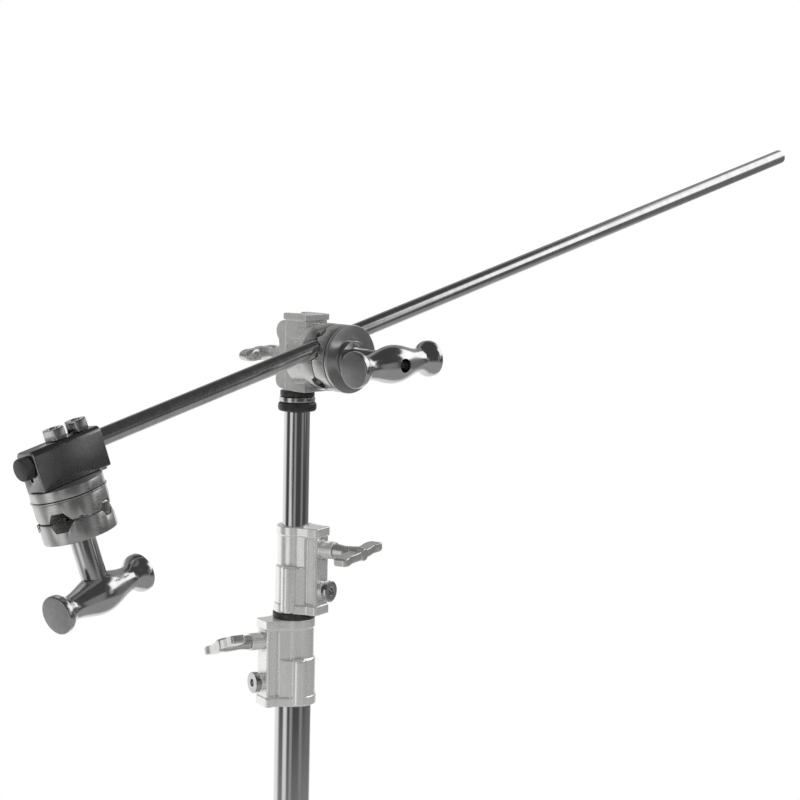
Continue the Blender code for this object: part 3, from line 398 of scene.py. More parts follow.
# Where a pattern's values mostly lie, and how rough and how broad its noise is
PATTERN_MIDDLE = (0.35, 0.65)
NOISE_ROUGHNESS = 0.6
BROAD_SHARE = 0.12
# Between which readings an edge and a hollow fade in, and in which patches the lightened edges, partly wear and
# partly painted highlight, come and go
EDGE_SPAN = (0.86, 0.985)
HOLLOW_SPAN = (0.35, 0.9)
PATCH_SPAN = (0.4, 0.6)
PATCH_SCALE = 220
# Lightened edges, partly wear and partly painted highlight, and painted shade darkening the hollows: reach in
# metres, and what shows there
SHINE = {"reach": 0.0012, "colour": (0.95, 0.95, 0.94), "metallic": 0.5, "least": 0.5}
CUT_EDGE_AND_HIGHLIGHT = {"reach": 0.0005, "colour": (0.8, 0.8, 0.8), "least": 0.2}
BARE_EDGE_AND_HIGHLIGHT = {"reach": 0.0022, "colour": (0.9, 0.9, 0.9), "metallic": 0.3, "least": 0.9}
HOLLOW_SHADE = {"reach": 0.005, "colour": (0.1, 0.1, 0.1)}
# Which finishes get lightened edges, partly wear and partly painted highlight, and painted shade in their hollows
WEAR_HIGHLIGHT_AND_SHADE = {
    "satin_casting": {"edge_wear_and_highlight": SHINE, "hollows": HOLLOW_SHADE},
    "bright_casting": {"edge_wear_and_highlight": SHINE, "hollows": HOLLOW_SHADE},
    "knob_casting": {"edge_wear_and_highlight": SHINE, "hollows": HOLLOW_SHADE},
    "head_disc": {"edge_wear_and_highlight": CUT_EDGE_AND_HIGHLIGHT},
    "end_disc": {"edge_wear_and_highlight": CUT_EDGE_AND_HIGHLIGHT},
    "dark_plate": {"edge_wear_and_highlight": BARE_EDGE_AND_HIGHLIGHT},
}


def link(tree, source, output, target, entry):
    """Join one node's output to another's input."""
    tree.links.new(source.outputs[output], target.inputs[entry])


def node(tree, kind, **values):
    """A node with its settings."""
    made = tree.nodes.new(kind)
    for name, value in values.items():
        setattr(made, name, value)
    return made


def pattern(tree, scale, detail, stretch=(1, 1, 1), turned_to=(0, 0, 0)):
    """Noise laid in the piece's own space."""
    place = node(tree, "ShaderNodeTexCoord")
    mapping = node(tree, "ShaderNodeMapping")
    mapping.inputs["Scale"].default_value = stretch
    mapping.inputs["Rotation"].default_value = turned_to
    noise = node(tree, "ShaderNodeTexNoise")
    noise.inputs["Scale"].default_value = scale
    noise.inputs["Detail"].default_value = detail
    noise.inputs["Roughness"].default_value = NOISE_ROUGHNESS
    link(tree, place, "Object", mapping, "Vector")
    link(tree, mapping, "Vector", noise, "Vector")
    return noise


def ranged(tree, source, output, low, high, span=PATTERN_MIDDLE):
    """Spread a span of the source's readings over a range of values."""
    spread = node(tree, "ShaderNodeMapRange", clamp=True)
    for entry, value in (("From Min", span[0]), ("From Max", span[1]), ("To Min", low), ("To Max", high)):
        spread.inputs[entry].default_value = value
    link(tree, source, output, spread, "Value")
    return spread


def shades(tree, source, output, dark, light, span=PATTERN_MIDDLE):
    """A colour that drifts between two shades over a span of the source's readings."""
    ramp = node(tree, "ShaderNodeValToRGB")
    for k, colour in enumerate((dark, light)):
        ramp.color_ramp.elements[k].position = span[k]
        ramp.color_ramp.elements[k].color = (*colour, 1)
    link(tree, source, output, ramp, "Fac")
    return ramp


def edge_lines(tree, reach):
    """How far a spot lies on an edge, found from how the surface turns within a small reach."""
    rounded_off = node(tree, "ShaderNodeBevel", samples=6)
    rounded_off.inputs["Radius"].default_value = reach
    shape = node(tree, "ShaderNodeNewGeometry")
    agree = node(tree, "ShaderNodeVectorMath", operation="DOT_PRODUCT")
    link(tree, rounded_off, "Normal", agree, 0)
    link(tree, shape, "Normal", agree, 1)
    return ranged(tree, agree, "Value", 1.0, 0.0, EDGE_SPAN)


def hollows_of(tree, reach):
    """How far a spot lies in a groove or an inner corner."""
    shade = node(tree, "ShaderNodeAmbientOcclusion", samples=8, only_local=True)
    shade.inputs["Distance"].default_value = reach
    return ranged(tree, shade, "AO", 1.0, 0.0, HOLLOW_SPAN)


def surface(name, colour, drift, rough, metallic, grain, relief, stretch=(1, 1, 1), turned_to=(0, 0, 0),
            edge_wear_and_highlight=None, hollows=None):
    """A procedural finish: shade, gloss and fine relief drift over the piece, with painted shade in the hollows
    and lightened edges, partly wear and partly painted highlight, where asked.
    """
    material = bpy.data.materials.new(name)
    material.use_nodes = True
    tree = material.node_tree
    shader = tree.nodes["Principled BSDF"]
    shader.inputs["Metallic"].default_value = metallic
    broad = pattern(tree, grain * BROAD_SHARE, 4, stretch, turned_to)
    fine = pattern(tree, grain, 6, stretch, turned_to)
    dark = tuple(max(c - drift, 0.0) for c in colour)
    light = tuple(min(c + drift, 1.0) for c in colour)
    tone = (shades(tree, broad, "Fac", dark, light), "Color")
    gloss = ranged(tree, fine, "Fac", *rough)
    bump = node(tree, "ShaderNodeBump")
    bump.inputs["Strength"].default_value, bump.inputs["Distance"].default_value = relief
    link(tree, fine, "Fac", bump, "Height")
    link(tree, bump, "Normal", shader, "Normal")
    link(tree, gloss, "Result", shader, "Roughness")
    # Painted shade: grooves and inner corners darkened by how enclosed they are
    if hollows is not None:
        tone = blended(tree, tone, hollows["colour"], hollows_of(tree, hollows["reach"]))
    # Edges lightened in patches, partly wear and partly painted highlight
    if edge_wear_and_highlight is not None:
        patches = ranged(tree, pattern(tree, PATCH_SCALE, 3), "Fac", edge_wear_and_highlight["least"], 1.0, PATCH_SPAN)
        mask = node(tree, "ShaderNodeMath", operation="MULTIPLY", use_clamp=True)
        edges = edge_lines(tree, edge_wear_and_highlight["reach"])
        link(tree, edges, "Result", mask, 0)
        link(tree, patches, "Result", mask, 1)
        tone = blended(tree, tone, edge_wear_and_highlight["colour"], mask)
        if "metallic" in edge_wear_and_highlight:
            bare = ranged(tree, mask, 0, metallic, edge_wear_and_highlight["metallic"], (0.0, 1.0))
            link(tree, bare, "Result", shader, "Metallic")
    link(tree, *tone, shader, "Base Color")
    return material


def blended(tree, tone, colour, mask):
    """Lay a second colour over a tone where the mask says."""
    mixed = node(tree, "ShaderNodeMix", data_type="RGBA")
    colours = [socket for socket in mixed.inputs if socket.type == "RGBA"]
    colours[1].default_value = (*colour, 1)
    tree.links.new(mask.outputs[0], mixed.inputs[0])
    tree.links.new(tone[0].outputs[tone[1]], colours[0])
    result = next(k for k, socket in enumerate(mixed.outputs) if socket.type == "RGBA")
    return mixed, result


def streaks(direction):
    """Stretch and turn for a pattern that runs along a direction."""
    return (1, 1, 0.02), direction.to_track_quat("Z", "Y").inverted().to_euler()


def lathe_lines(axis):
    """Stretch and turn for the fine rings that a lathe leaves round an axis."""
    return (0.03, 0.03, 1), axis.to_track_quat("Z", "Y").inverted().to_euler()


def scaled(colour, share):
    """A colour made lighter or darker."""
    return tuple(c * share for c in colour)


def make_finishes(looks):
    """Every finish of the stand, by name."""
    chrome, satin, bright = tuple(looks.chrome), tuple(looks.casting), tuple(looks.bright_casting)
    black, rubber, brass = tuple(looks.blackened), tuple(looks.rubber), tuple(looks.brass)
    turned_grey = tuple(min(c, 1.0) for c in scaled(satin, 1.25))
    gloss = looks.chrome_roughness
    dull = looks.casting_roughness
    # Colour, drift of the colour, range of roughness, metallic value, grain, strength and depth of the
    # relief, and for some the stretch and turn of the grain
    rows = {
        "tube_chrome": (chrome, 0.03, (gloss, gloss + 0.07), 1.0, 900, (0.12, 0.00004), *streaks(UP)),
        "arm_chrome": (scaled(chrome, 0.86), 0.06, (gloss + 0.08, gloss + 0.15), 1.0, 900, (0.06, 0.00003),
                       *streaks(ARM_LINE)),
        "chromed_steel": (scaled(chrome, 0.88), 0.04, (gloss + 0.05, gloss + 0.14), 1.0, 420,
                          (0.06, 0.00003)),
        "turned_end": (scaled(chrome, 0.62), 0.03, (0.26, 0.36), 1.0, 1500, (0.1, 0.00003)),
        "satin_casting": (scaled(satin, 1.35), 0.03, (dull - 0.06, dull + 0.04), 0.75, 1500, (0.05, 0.00003)),
        "head_disc": (turned_grey, 0.025, (dull - 0.12, dull), 0.95, 1500, (0.1, 0.00003),
                      *lathe_lines(Vector((0, -1, 0)))),
        "end_disc": (turned_grey, 0.025, (dull - 0.12, dull), 0.95, 1500, (0.1, 0.00003),
                     *lathe_lines(END_AXIS)),
        "bright_casting": (scaled(bright, 1.08), 0.02, (dull - 0.08, dull), 0.82, 1100, (0.02, 0.00003)),
        "knob_casting": (scaled(bright, 0.85), 0.04, (dull - 0.12, dull - 0.02), 0.9, 1100, (0.06, 0.00004)),
        "turned_face": (turned_grey, 0.02, (dull - 0.12, dull - 0.04), 0.95, 1300, (0.02, 0.00002)),
        "dark_plate": (scaled(chrome, 0.42), 0.02, (0.2, 0.3), 1.0, 1200, (0.03, 0.00003)),
        "blackened_steel": (black, 0.008, (0.26, 0.42), 0.0, 1200, (0.2, 0.00004)),
        "black_rubber": (rubber, 0.008, (0.3, 0.45), 0.0, 1600, (0.15, 0.00004)),
        "black_plastic": (rubber, 0.006, (0.38, 0.5), 0.0, 1400, (0.2, 0.00004)),
        "brass": (brass, 0.05, (0.28, 0.42), 1.0, 900, (0.2, 0.00003)),
    }
    return {name: surface(name, *row, **WEAR_HIGHLIGHT_AND_SHADE.get(name, {})) for name, row in rows.items()}


FINISHES = {}


def dress(body, finish, angle=SHARP):
    """Smooth shading with crisp edges, and a finish."""
    body.data.shade_smooth()
    body.data.set_sharp_from_angle(angle=math.radians(angle))
    body.data.materials.clear()
    body.data.materials.append(FINISHES[finish])
    return body


def stand_for(body, node_name, finish, angle=SHARP):
    """Let a dressed piece take its node's place on the node's body."""
    dress(body, finish, angle)
    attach(body, BODY_OF[node_name])
    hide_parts(node_name)
    return body


def finished(node_name, shape, finish, place=None, angle=SHARP):
    """A dressed piece straight from a shape."""
    return stand_for(solid("finished_" + node_name, shape, place), node_name, finish, angle)


def keep_node(node_name, finish):
    """Leave a node as it is, with its finish."""
    dress(frame["nodes"][node_name], finish)


# Sizes and colours that a user may change


class StandSizes(PropertyGroup):
    """Sizes of the tubes, the arm and the discs."""

    column_radius: FloatProperty(
        name="Column radius", description="Outside radius of the fixed tube",
        default=size("column_tube", 0) / 2, unit="LENGTH")
    riser_2_radius: FloatProperty(
        name="Second riser radius", description="Outside radius of the lower sliding tube",
        default=size("riser_2_tube", 0) / 2, unit="LENGTH")
    riser_1_radius: FloatProperty(
        name="First riser radius", description="Outside radius of the upper sliding tube",
        default=size("riser_1_tube", 0) / 2, unit="LENGTH")
    tube_wall: FloatProperty(
        name="Tube wall", description="Wall of the three tubes", default=0.0014, unit="LENGTH")
    arm_radius: FloatProperty(
        name="Arm radius", description="Radius of the boom arm's rod", default=0.00794, unit="LENGTH")
    arm_tip: FloatProperty(
        name="Arm tip", description="Distance from the middle head to the arm's free end",
        default=0.7453, unit="LENGTH")
    disc_radius: FloatProperty(
        name="Disc radius", description="Radius of the clamping discs", default=0.03175, unit="LENGTH")


class HandleSizes(PropertyGroup):
    """Sizes of the T-handles."""

    length: FloatProperty(name="Length", description="Length of the bar", default=0.1, unit="LENGTH")
    end_radius: FloatProperty(
        name="End radius", description="Radius at the bar's ends", default=0.0168, unit="LENGTH")
    neck_radius: FloatProperty(
        name="Neck radius", description="Radius at the bar's necks", default=0.0109, unit="LENGTH")
    waist_radius: FloatProperty(
        name="Middle radius", description="Radius of the bar's swollen middle", default=0.0176, unit="LENGTH")
    hole_radius: FloatProperty(
        name="Hole radius", description="Radius of the hole through the bar's middle",
        default=0.0065, unit="LENGTH")


class StandLooks(PropertyGroup):
    """Colours and gloss of the finishes."""

    chrome: FloatVectorProperty(
        name="Chrome", description="Colour of the plated tubes, arm and handles",
        default=(0.72, 0.72, 0.725), subtype="COLOR", min=0, max=1)
    casting: FloatVectorProperty(
        name="Casting", description="Colour of the heads' castings and discs",
        default=(0.46, 0.46, 0.455), subtype="COLOR", min=0, max=1)
    bright_casting: FloatVectorProperty(
        name="Bright casting", description="Colour of the collars, hubs and wing knobs",
        default=(0.84, 0.84, 0.83), subtype="COLOR", min=0, max=1)
    blackened: FloatVectorProperty(
        name="Blackened steel", description="Colour of the bracket and the arm's end cap",
        default=(0.022, 0.022, 0.024), subtype="COLOR", min=0, max=1)
    rubber: FloatVectorProperty(
        name="Rubber", description="Colour of the feet, rings and washers",
        default=(0.02, 0.02, 0.021), subtype="COLOR", min=0, max=1)
    brass: FloatVectorProperty(
        name="Brass", description="Colour of the pads inside the clamps",
        default=(0.75, 0.56, 0.26), subtype="COLOR", min=0, max=1)
    chrome_roughness: FloatProperty(
        name="Chrome roughness", description="Roughness of the plating",
        default=0.07, min=0, max=1, subtype="FACTOR")
    casting_roughness: FloatProperty(
        name="Casting roughness", description="Roughness of the castings",
        default=0.3, min=0, max=1, subtype="FACTOR")


class StageSettings(PropertyGroup):
    """Floor, studio and light."""

    floor_radius: FloatProperty(
        name="Floor radius", description="Radius of the floor", default=1.7, unit="LENGTH")
    studio_radius: FloatProperty(
        name="Studio radius", description="Distance of the reflecting screens", default=5.0, unit="LENGTH")
    ambient: FloatProperty(name="Ambient", description="Strength of the even light", default=0.55, min=0)
    key_power: FloatProperty(
        name="Key power", description="Power of the main lamp", default=110.0, unit="POWER")
    lens: FloatProperty(
        name="Lens", description="Focal length of the camera in millimetres", default=91.65, min=1)


# Pieces


def knob_seat(radius):
    """Where a collar's knob boss ends, for the radius of the tube that the collar clamps."""
    return radius + COLLAR["wall"] + COLLAR["flare"] + COLLAR["pad_stand"] + COLLAR["knob_boss"]


class TubeOperator(Operator):
    """Build the three polished tubes of the column"""

    bl_idname = "grip_stand.tubes"
    bl_label = "Column tubes"

    def execute(self, context):
        sizes = context.scene.stand_sizes
        radii = {
            "column_tube": sizes.column_radius,
            "riser_2_tube": sizes.riser_2_radius,
            "riser_1_tube": sizes.riser_1_radius,
        }
        for name, radius in radii.items():
            low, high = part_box(name)
            shape = sleeve(radius - sizes.tube_wall, radius, low.z, high.z, soften=0.0005)
            finished(name, shape, "tube_chrome")
        for name in ("riser_2_guide", "riser_1_guide"):
            keep_node(name, "black_plastic")
        return {"FINISHED"}


class BaseOperator(Operator):
    """Build the cap, the hubs and the legs of the base"""

    bl_idname = "grip_stand.base"
    bl_label = "Base and legs"

    def execute(self, context):
        column = context.scene.stand_sizes.column_radius
        plug, rim = column - BASE_CAP["inset"] - FIT, BASE_CAP["rim"]
        low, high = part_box("base_cap")
        radius = size("base_cap", 0) / 2
        profile = [(0, low.z), (radius, low.z), (radius, rim), (plug, rim), (plug, high.z), (0, high.z)]
        finished("base_cap", turned(profile, MEDIUM, soften=0.0008), "satin_casting")
        low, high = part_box("hub_stop_ring")
        ring = sleeve(column + FIT, size("hub_stop_ring", 0) / 2, low.z, high.z, MEDIUM, soften=0.0012)
        finished("hub_stop_ring", ring, "satin_casting")
        for level, azimuth in LEG["azimuths"].items():
            self.leg(level, azimuth, column + FIT)
        return {"FINISHED"}

    def leg(self, level, azimuth, bore):
        """One leg with its hub, its cross pin and its foot."""
        low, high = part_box("leg_hub_" + level)
        height = (low.z + high.z) / 2
        place = Matrix.Translation((0, 0, height)) @ turn(azimuth, "Z")
        half = LEG["hub_height"] / 2
        pin_at = (LEG["pin_at"], 0, 0)
        hub = solid("finished_leg_hub_" + level, rod(LEG["hub_radius"], -half, half), place)
        arm = rod(LEG["arm_radius"], LEG["arm_start"], LEG["arm_reach"], soften=0.001)
        combine(hub, [along_x(arm)], place, "UNION")
        removed = [
            rod(bore, -THROUGH, THROUGH),
            along_x(rod(LEG["radius"] + FIT, LEG["start"], 2 * THROUGH)),
            along_y(rod(LEG["pin_radius"] + FIT, -LEG["pin_hole_half"], LEG["pin_hole_half"], SMALL), pin_at),
        ]
        combine(hub, removed, place, "DIFFERENCE")
        cast(hub, voxel=0.0007, smooth=4, keep=0.35)
        stand_for(hub, "leg_hub_" + level, "bright_casting", CAST_SHARP)
        drop = height - LEG["floor"] - LEG["foot_radius"]
        finished("leg_tube_" + level, self.leg_tube(drop), "chromed_steel", place)
        pin = rod(LEG["pin_radius"], -LEG["pin_half"], LEG["pin_half"], SMALL, soften=0.0006)
        finished("leg_pin_" + level, along_y(pin, pin_at), "chromed_steel", place)
        finished("leg_foot_" + level, along_x(self.foot(), (0, 0, -drop)), "black_rubber", place)

    @staticmethod
    def foot():
        """The sleeve with a closed end that covers the tip of a leg."""
        start, end = LEG["reach"] - LEG["foot_length"], LEG["reach"]
        body = solid("foot_blank", rod(LEG["foot_radius"], start, end, soften=0.0016))
        well = rod(LEG["radius"] + FIT, start - 10 * OVERLAP, end - LEG["foot_end"])
        combine(body, [well], None, "DIFFERENCE")
        shape = bmesh.new()
        shape.from_mesh(body.data)
        bpy.data.objects.remove(body)
        return shape

    @staticmethod
    def leg_tube(drop):
        """The bent tube of one leg, out of the hub, down the slope and along the floor."""
        slope, bend = math.radians(LEG["slope"]), LEG["bend"]
        tangent = bend * math.tan(slope / 2)
        foot_x = LEG["bend_at"] + tangent + drop / math.tan(slope)
        path = [(LEG["start"] + FIT, 0.0)]
        path += arc((LEG["bend_at"], -bend), bend, 90, 90 - LEG["slope"], BEND_STEPS)
        path += arc((foot_x + tangent, -drop + bend), bend, 270 - LEG["slope"], 270, BEND_STEPS)
        path.append((LEG["reach"] - LEG["foot_end"] - FIT, -drop))
        points = [Vector((x, 0, z)) for x, z in path]
        shape = bmesh.new()
        across = Vector((0, 1, 0))
        turns = [2 * math.pi * k / SMALL for k in range(SMALL)]
        outer, inner = [], []
        for k, point in enumerate(points):
            before = (point - points[k - 1]).normalized() if k else None
            after = (points[k + 1] - point).normalized() if k + 1 < len(points) else None
            normal = ((before or after) + (after or before)).normalized().cross(across)
            for layer, radius in ((outer, LEG["radius"]), (inner, LEG["radius"] - LEG["wall"])):
                spots = [point + across * radius * math.cos(t) + normal * radius * math.sin(t) for t in turns]
                layer.append([shape.verts.new(spot) for spot in spots])
        walls = [*zip(outer, outer[1:]), *zip(inner, inner[1:]), (outer[0], inner[0]), (outer[-1], inner[-1])]
        for lower, upper in walls:
            skin(shape, lower, upper)
        return shape


class CollarOperator(Operator):
    """Build the two cast collars with their socket screws"""

    bl_idname = "grip_stand.collars"
    bl_label = "Collars"

    def execute(self, context):
        sizes = context.scene.stand_sizes
        tubes = {
            "lower": (sizes.column_radius, sizes.riser_2_radius),
            "upper": (sizes.riser_2_radius, sizes.riser_1_radius),
        }
        for label, (below, above) in tubes.items():
            self.collar(label, below, above)
        low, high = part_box("bumper_ring")
        inner, outer = sizes.riser_2_radius + FIT, size("bumper_ring", 0) / 2
        finished("bumper_ring", sleeve(inner, outer, low.z, high.z, soften=0.0014), "black_rubber")
        return {"FINISHED"}

    @staticmethod
    def outline(radius, pad_distance, grow):
        """A collar's outline seen from above: the barrel, with the lug towards +X."""
        half, pad = COLLAR["pad_width"] / 2 + grow, pad_distance + grow
        chamfer = COLLAR["pad_chamfer"]
        side = [(pad, half - chamfer), (pad - chamfer, half), (pad - COLLAR["pad_depth"], half)]
        start = COLLAR["barrel_start"]
        barrel = arc((0, 0), radius + grow, start, 360 - start, 48)
        return side + barrel + [(x, -y) for x, y in reversed(side)]

    @staticmethod
    def lug_recesses(pad):
        """A sunk panel and a narrow groove on both sides of the lug, between the lips."""
        half, height, lip_height = COLLAR["pad_width"] / 2, COLLAR["height"], COLLAR["lip_height"]
        low, high = -height + lip_height + LUG["margin"], -lip_height - LUG["margin"]
        root = pad - COLLAR["pad_depth"]
        shapes = []
        for side in (-1, 1):
            near, far = sorted((side * (half - LUG["sunk"]), side * (half + LUG["out"])))
            shapes.append(block((root + LUG["back"], near, low), (pad - LUG["front"], far, high)))
            groove_at = (root + LUG["groove_shift"], side * (half + LUG["groove_shift"]), 0)
            groove = rod(LUG["groove_radius"], low, high, SMALL)
            shapes.append(moved(groove, Matrix.Translation(groove_at)))
        return shapes

    def collar(self, label, lower_radius, upper_radius):
        """One casting with its ribs, its lug and its bosses, and its screw."""
        knob_at, axis = joint_axis(label + "_knob_turn")
        place = placement(axis, UP, Vector((0, 0, knob_at.z + COLLAR["knob_drop"])))
        height, lip, lip_height = COLLAR["height"], COLLAR["lip"], COLLAR["lip_height"]
        shoulder = COLLAR["shoulder"]
        upper = upper_radius + COLLAR["wall"]
        lower = upper + COLLAR["flare"]
        pad = lower + COLLAR["pad_stand"]
        levels = [
            (-height, lower, lip), (-height + lip_height, lower, lip), (-height + lip_height, lower, 0.0),
            (-shoulder - COLLAR["flare"], lower, 0.0), (-shoulder, upper, 0.0),
            (-lip_height, upper, 0.0), (-lip_height, upper, lip), (0.0, upper, lip),
        ]
        outlines = [(z, self.outline(radius, pad, grow)) for z, radius, grow in levels]
        body = solid("finished_collar_" + label, stacked(outlines), place)
        knob_z, screw_z = -COLLAR["knob_drop"], -COLLAR["screw_drop"]
        screw_face = pad + COLLAR["screw_boss"]
        added = []
        for side in (-1, 1):
            rib = rod(COLLAR["rib_radius"], -height + COLLAR["rib_lift"], -shoulder, SMALL, soften=0.002)
            rib_at = (COLLAR["rib_shift"], side * (lower - COLLAR["rib_depth"]), 0)
            added.append(moved(rib, Matrix.Translation(rib_at)))
        for face, z in ((pad + COLLAR["knob_boss"], knob_z), (screw_face, screw_z)):
            added.append(along_x(rod(COLLAR["boss_radius"], lower_radius, face, SMALL), (0, 0, z)))
        combine(body, added, place, "UNION")
        seat_top = -height + COLLAR["seat"] + FIT
        removed = [
            rod(lower_radius + FIT, -2 * THROUGH, seat_top, FINE),
            rod(upper_radius + FIT, seat_top - OVERLAP, 2 * THROUGH, FINE),
            along_x(rod(STUD_RADIUS + FIT, 0.0, 2 * THROUGH, SMALL), (0, 0, knob_z)),
            along_x(rod(SCREW_RADIUS + FIT, 0.0, 2 * THROUGH, SMALL), (0, 0, screw_z)),
        ]
        combine(body, removed + self.lug_recesses(pad), place, "DIFFERENCE")
        cast(body, voxel=0.0005, smooth=4, keep=0.3)
        stand_for(body, "collar_" + label, "bright_casting", CAST_SHARP)
        screw = along_x(self.screw(lower_radius + FIT, screw_face + FIT), (0, 0, screw_z))
        finished("collar_screw_" + label, screw, "chromed_steel", place)
        keep_node("clamp_pad_" + label, "brass")

    @staticmethod
    def screw(tip, seat):
        """A socket screw from its tip to its head, which sits at seat."""
        end = seat + SCREW_HEAD_HEIGHT
        floor = end - SOCKET_DEPTH
        profile = [(0, tip), (SCREW_RADIUS, tip), (SCREW_RADIUS, seat), (SCREW_HEAD_RADIUS, seat)]
        profile += [(SCREW_HEAD_RADIUS, end), (SOCKET_RADIUS, end), (SOCKET_RADIUS, floor), (0, floor)]
        return turned(profile, MEDIUM, soften=0.0009)


class KnobOperator(Operator):
    """Build the three wing knobs with their studs"""

    bl_idname = "grip_stand.wing_knobs"
    bl_label = "Wing knobs"

    def execute(self, context):
        sizes = context.scene.stand_sizes
        clamped = {
            "lower": (sizes.riser_2_radius, knob_seat(sizes.riser_2_radius)),
            "upper": (sizes.riser_1_radius, knob_seat(sizes.riser_1_radius)),
            "head": (PIN_RADIUS, BODY["knob_boss_end"]),
        }
        for label, (tube, start) in clamped.items():
            at, axis = joint_axis(label + "_knob_turn")
            place = placement(axis, UP, at) @ turn(KNOBS[label]["turn"], "X")
            self.knob(label, place, start + FIT)
            pad_end = tube + FIT + PAD_THICKNESS
            stud_end = start + KNOB_HUB["length"] * STUD_SHARE
            stud = rod(STUD_RADIUS, pad_end + FIT, stud_end, SMALL, soften=0.0005)
            finished("wing_stud_" + label, along_x(stud), "chromed_steel", place)
        keep_node("clamp_pad_head", "brass")
        return {"FINISHED"}

    @staticmethod
    def knob(label, place, start):
        """A hub and its two wings, cast in one piece."""
        knob = KNOBS[label]
        radius, length = KNOB_HUB["radius"], KNOB_HUB["length"]
        depth, half = WING_DEPTH / 2, knob["span"] / 2
        middle = start + length + depth
        hub = [(0, start), (radius, start), (radius * KNOB_HUB["neck"], start + length * KNOB_HUB["neck_at"])]
        hub += [(radius, middle), (radius * KNOB_HUB["end"], middle + depth), (0, middle + depth)]
        body = solid("finished_wing_knob_" + label, along_x(turned(hub, MEDIUM, soften=0.001)), place)
        outline = [(middle + depth * rise, half * out) for out, rise in WING_SIDE]
        outline += [(middle + depth * rise, -half * out) for out, rise in reversed(WING_SIDE[1:-1])]
        outline = rounded(outline, WING_CORNER, 4, closed=True)
        layers = []
        for rise, grow in knob["layers"]:
            ring = [(middle + (x - middle) * grow, y * grow) for x, y in outline]
            layers.append((knob["thickness"] / 2 * rise, ring))
        combine(body, [stacked(layers)], place, "UNION")
        well = rod(STUD_RADIUS + FIT, start - 5 * OVERLAP, start + length * STUD_SHARE, SMALL)
        combine(body, [along_x(well)], place, "DIFFERENCE")
        cast(body, voxel=0.00045, smooth=knob["smooth"], keep=0.3)
        stand_for(body, "wing_knob_" + label, "knob_casting", KNOB_SHARP)


class SpigotOperator(Operator):
    """Build the cap, the spigot and the washer under the middle head"""

    bl_idname = "grip_stand.spigot"
    bl_label = "Spigot"

    def execute(self, context):
        sizes = context.scene.stand_sizes
        stem = sizes.riser_1_radius - sizes.tube_wall - FIT
        low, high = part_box("riser_cap")
        cap = sleeve(stem + FIT, size("riser_cap", 0) / 2, low.z, high.z, soften=0.0038)
        finished("riser_cap", cap, "black_rubber")
        bottom = high.z + FIT
        low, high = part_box("baby_pin")
        flange = size("baby_pin", 0) / 2
        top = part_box("pin_washer")[0].z - FIT
        profile = [(0, low.z), (stem, low.z), (stem, bottom), (flange, bottom), (flange, top)]
        profile += [(PIN_RADIUS, top), (PIN_RADIUS, high.z), (0, high.z)]
        finished("baby_pin", turned(profile, soften=0.0006), "chromed_steel")
        low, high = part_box("pin_washer")
        washer = sleeve(PIN_RADIUS + FIT, size("pin_washer", 0) / 2, low.z, high.z, soften=0.0012)
        finished("pin_washer", washer, "black_rubber")
        return {"FINISHED"}


class GripBodyOperator(Operator):
    """Build the cast body of the middle head"""

    bl_idname = "grip_stand.grip_body"
    bl_label = "Middle head's body"

    def execute(self, context):
        place = Matrix.Translation(HEAD_AT)
        half, bottom, rear, front = BODY["width"] / 2, BODY["bottom"], BODY["rear"], BODY["front"]
        lip = BODY["top"] - BODY["lip_height"]
        grow, seam = BODY["lip"], BODY["seam"]
        body = solid("finished_grip_body", block((-half, -front, bottom), (half, rear, lip + seam)), place)
        plate = block((-half - grow, -front - grow, lip), (half + grow, rear + grow, BODY["top"]))
        upper, lower = BODY["back_width"] / 2, BODY["back_width"] * BODY["lower_lobe"]
        back = [(0.0, bottom + seam)]
        back += arc((rear + lower * BODY["lower_out"], bottom + lower + seam), lower, -90, 60, 16)
        back += arc((rear + upper * BODY["upper_out"], lip - upper - grow), upper, -50, 90, 18)
        back.append((0.0, lip - grow))
        lobes = moved(slab(back, -upper, upper), turn(90, "Z") @ turn(90, "X"))
        seat = rod(BODY["seat_radius"], front / 2, BODY["seat_face"], FINE, soften=0.0008)
        seat = moved(seat, turn(90, "X"))
        knob_at = (0, 0, -BODY["knob_drop"])
        boss = along_y(rod(BODY["knob_boss_radius"], PIN_RADIUS, BODY["knob_boss_end"], SMALL), knob_at)
        combine(body, [plate, lobes, seat, boss], place, "UNION")
        removed = [
            rod(PIN_RADIUS + FIT, -THROUGH, THROUGH),
            moved(rod(BOLT_RADIUS + FIT, PIN_RADIUS, THROUGH, SMALL), turn(90, "X")),
            along_y(rod(STUD_RADIUS + FIT, 0.0, BODY["stud_hole"], SMALL), knob_at),
        ]
        combine(body, removed, place, "DIFFERENCE")
        cast(body, voxel=0.0005, smooth=4, keep=0.35)
        stand_for(body, "grip_body", "satin_casting", CAST_SHARP)
        return {"FINISHED"}


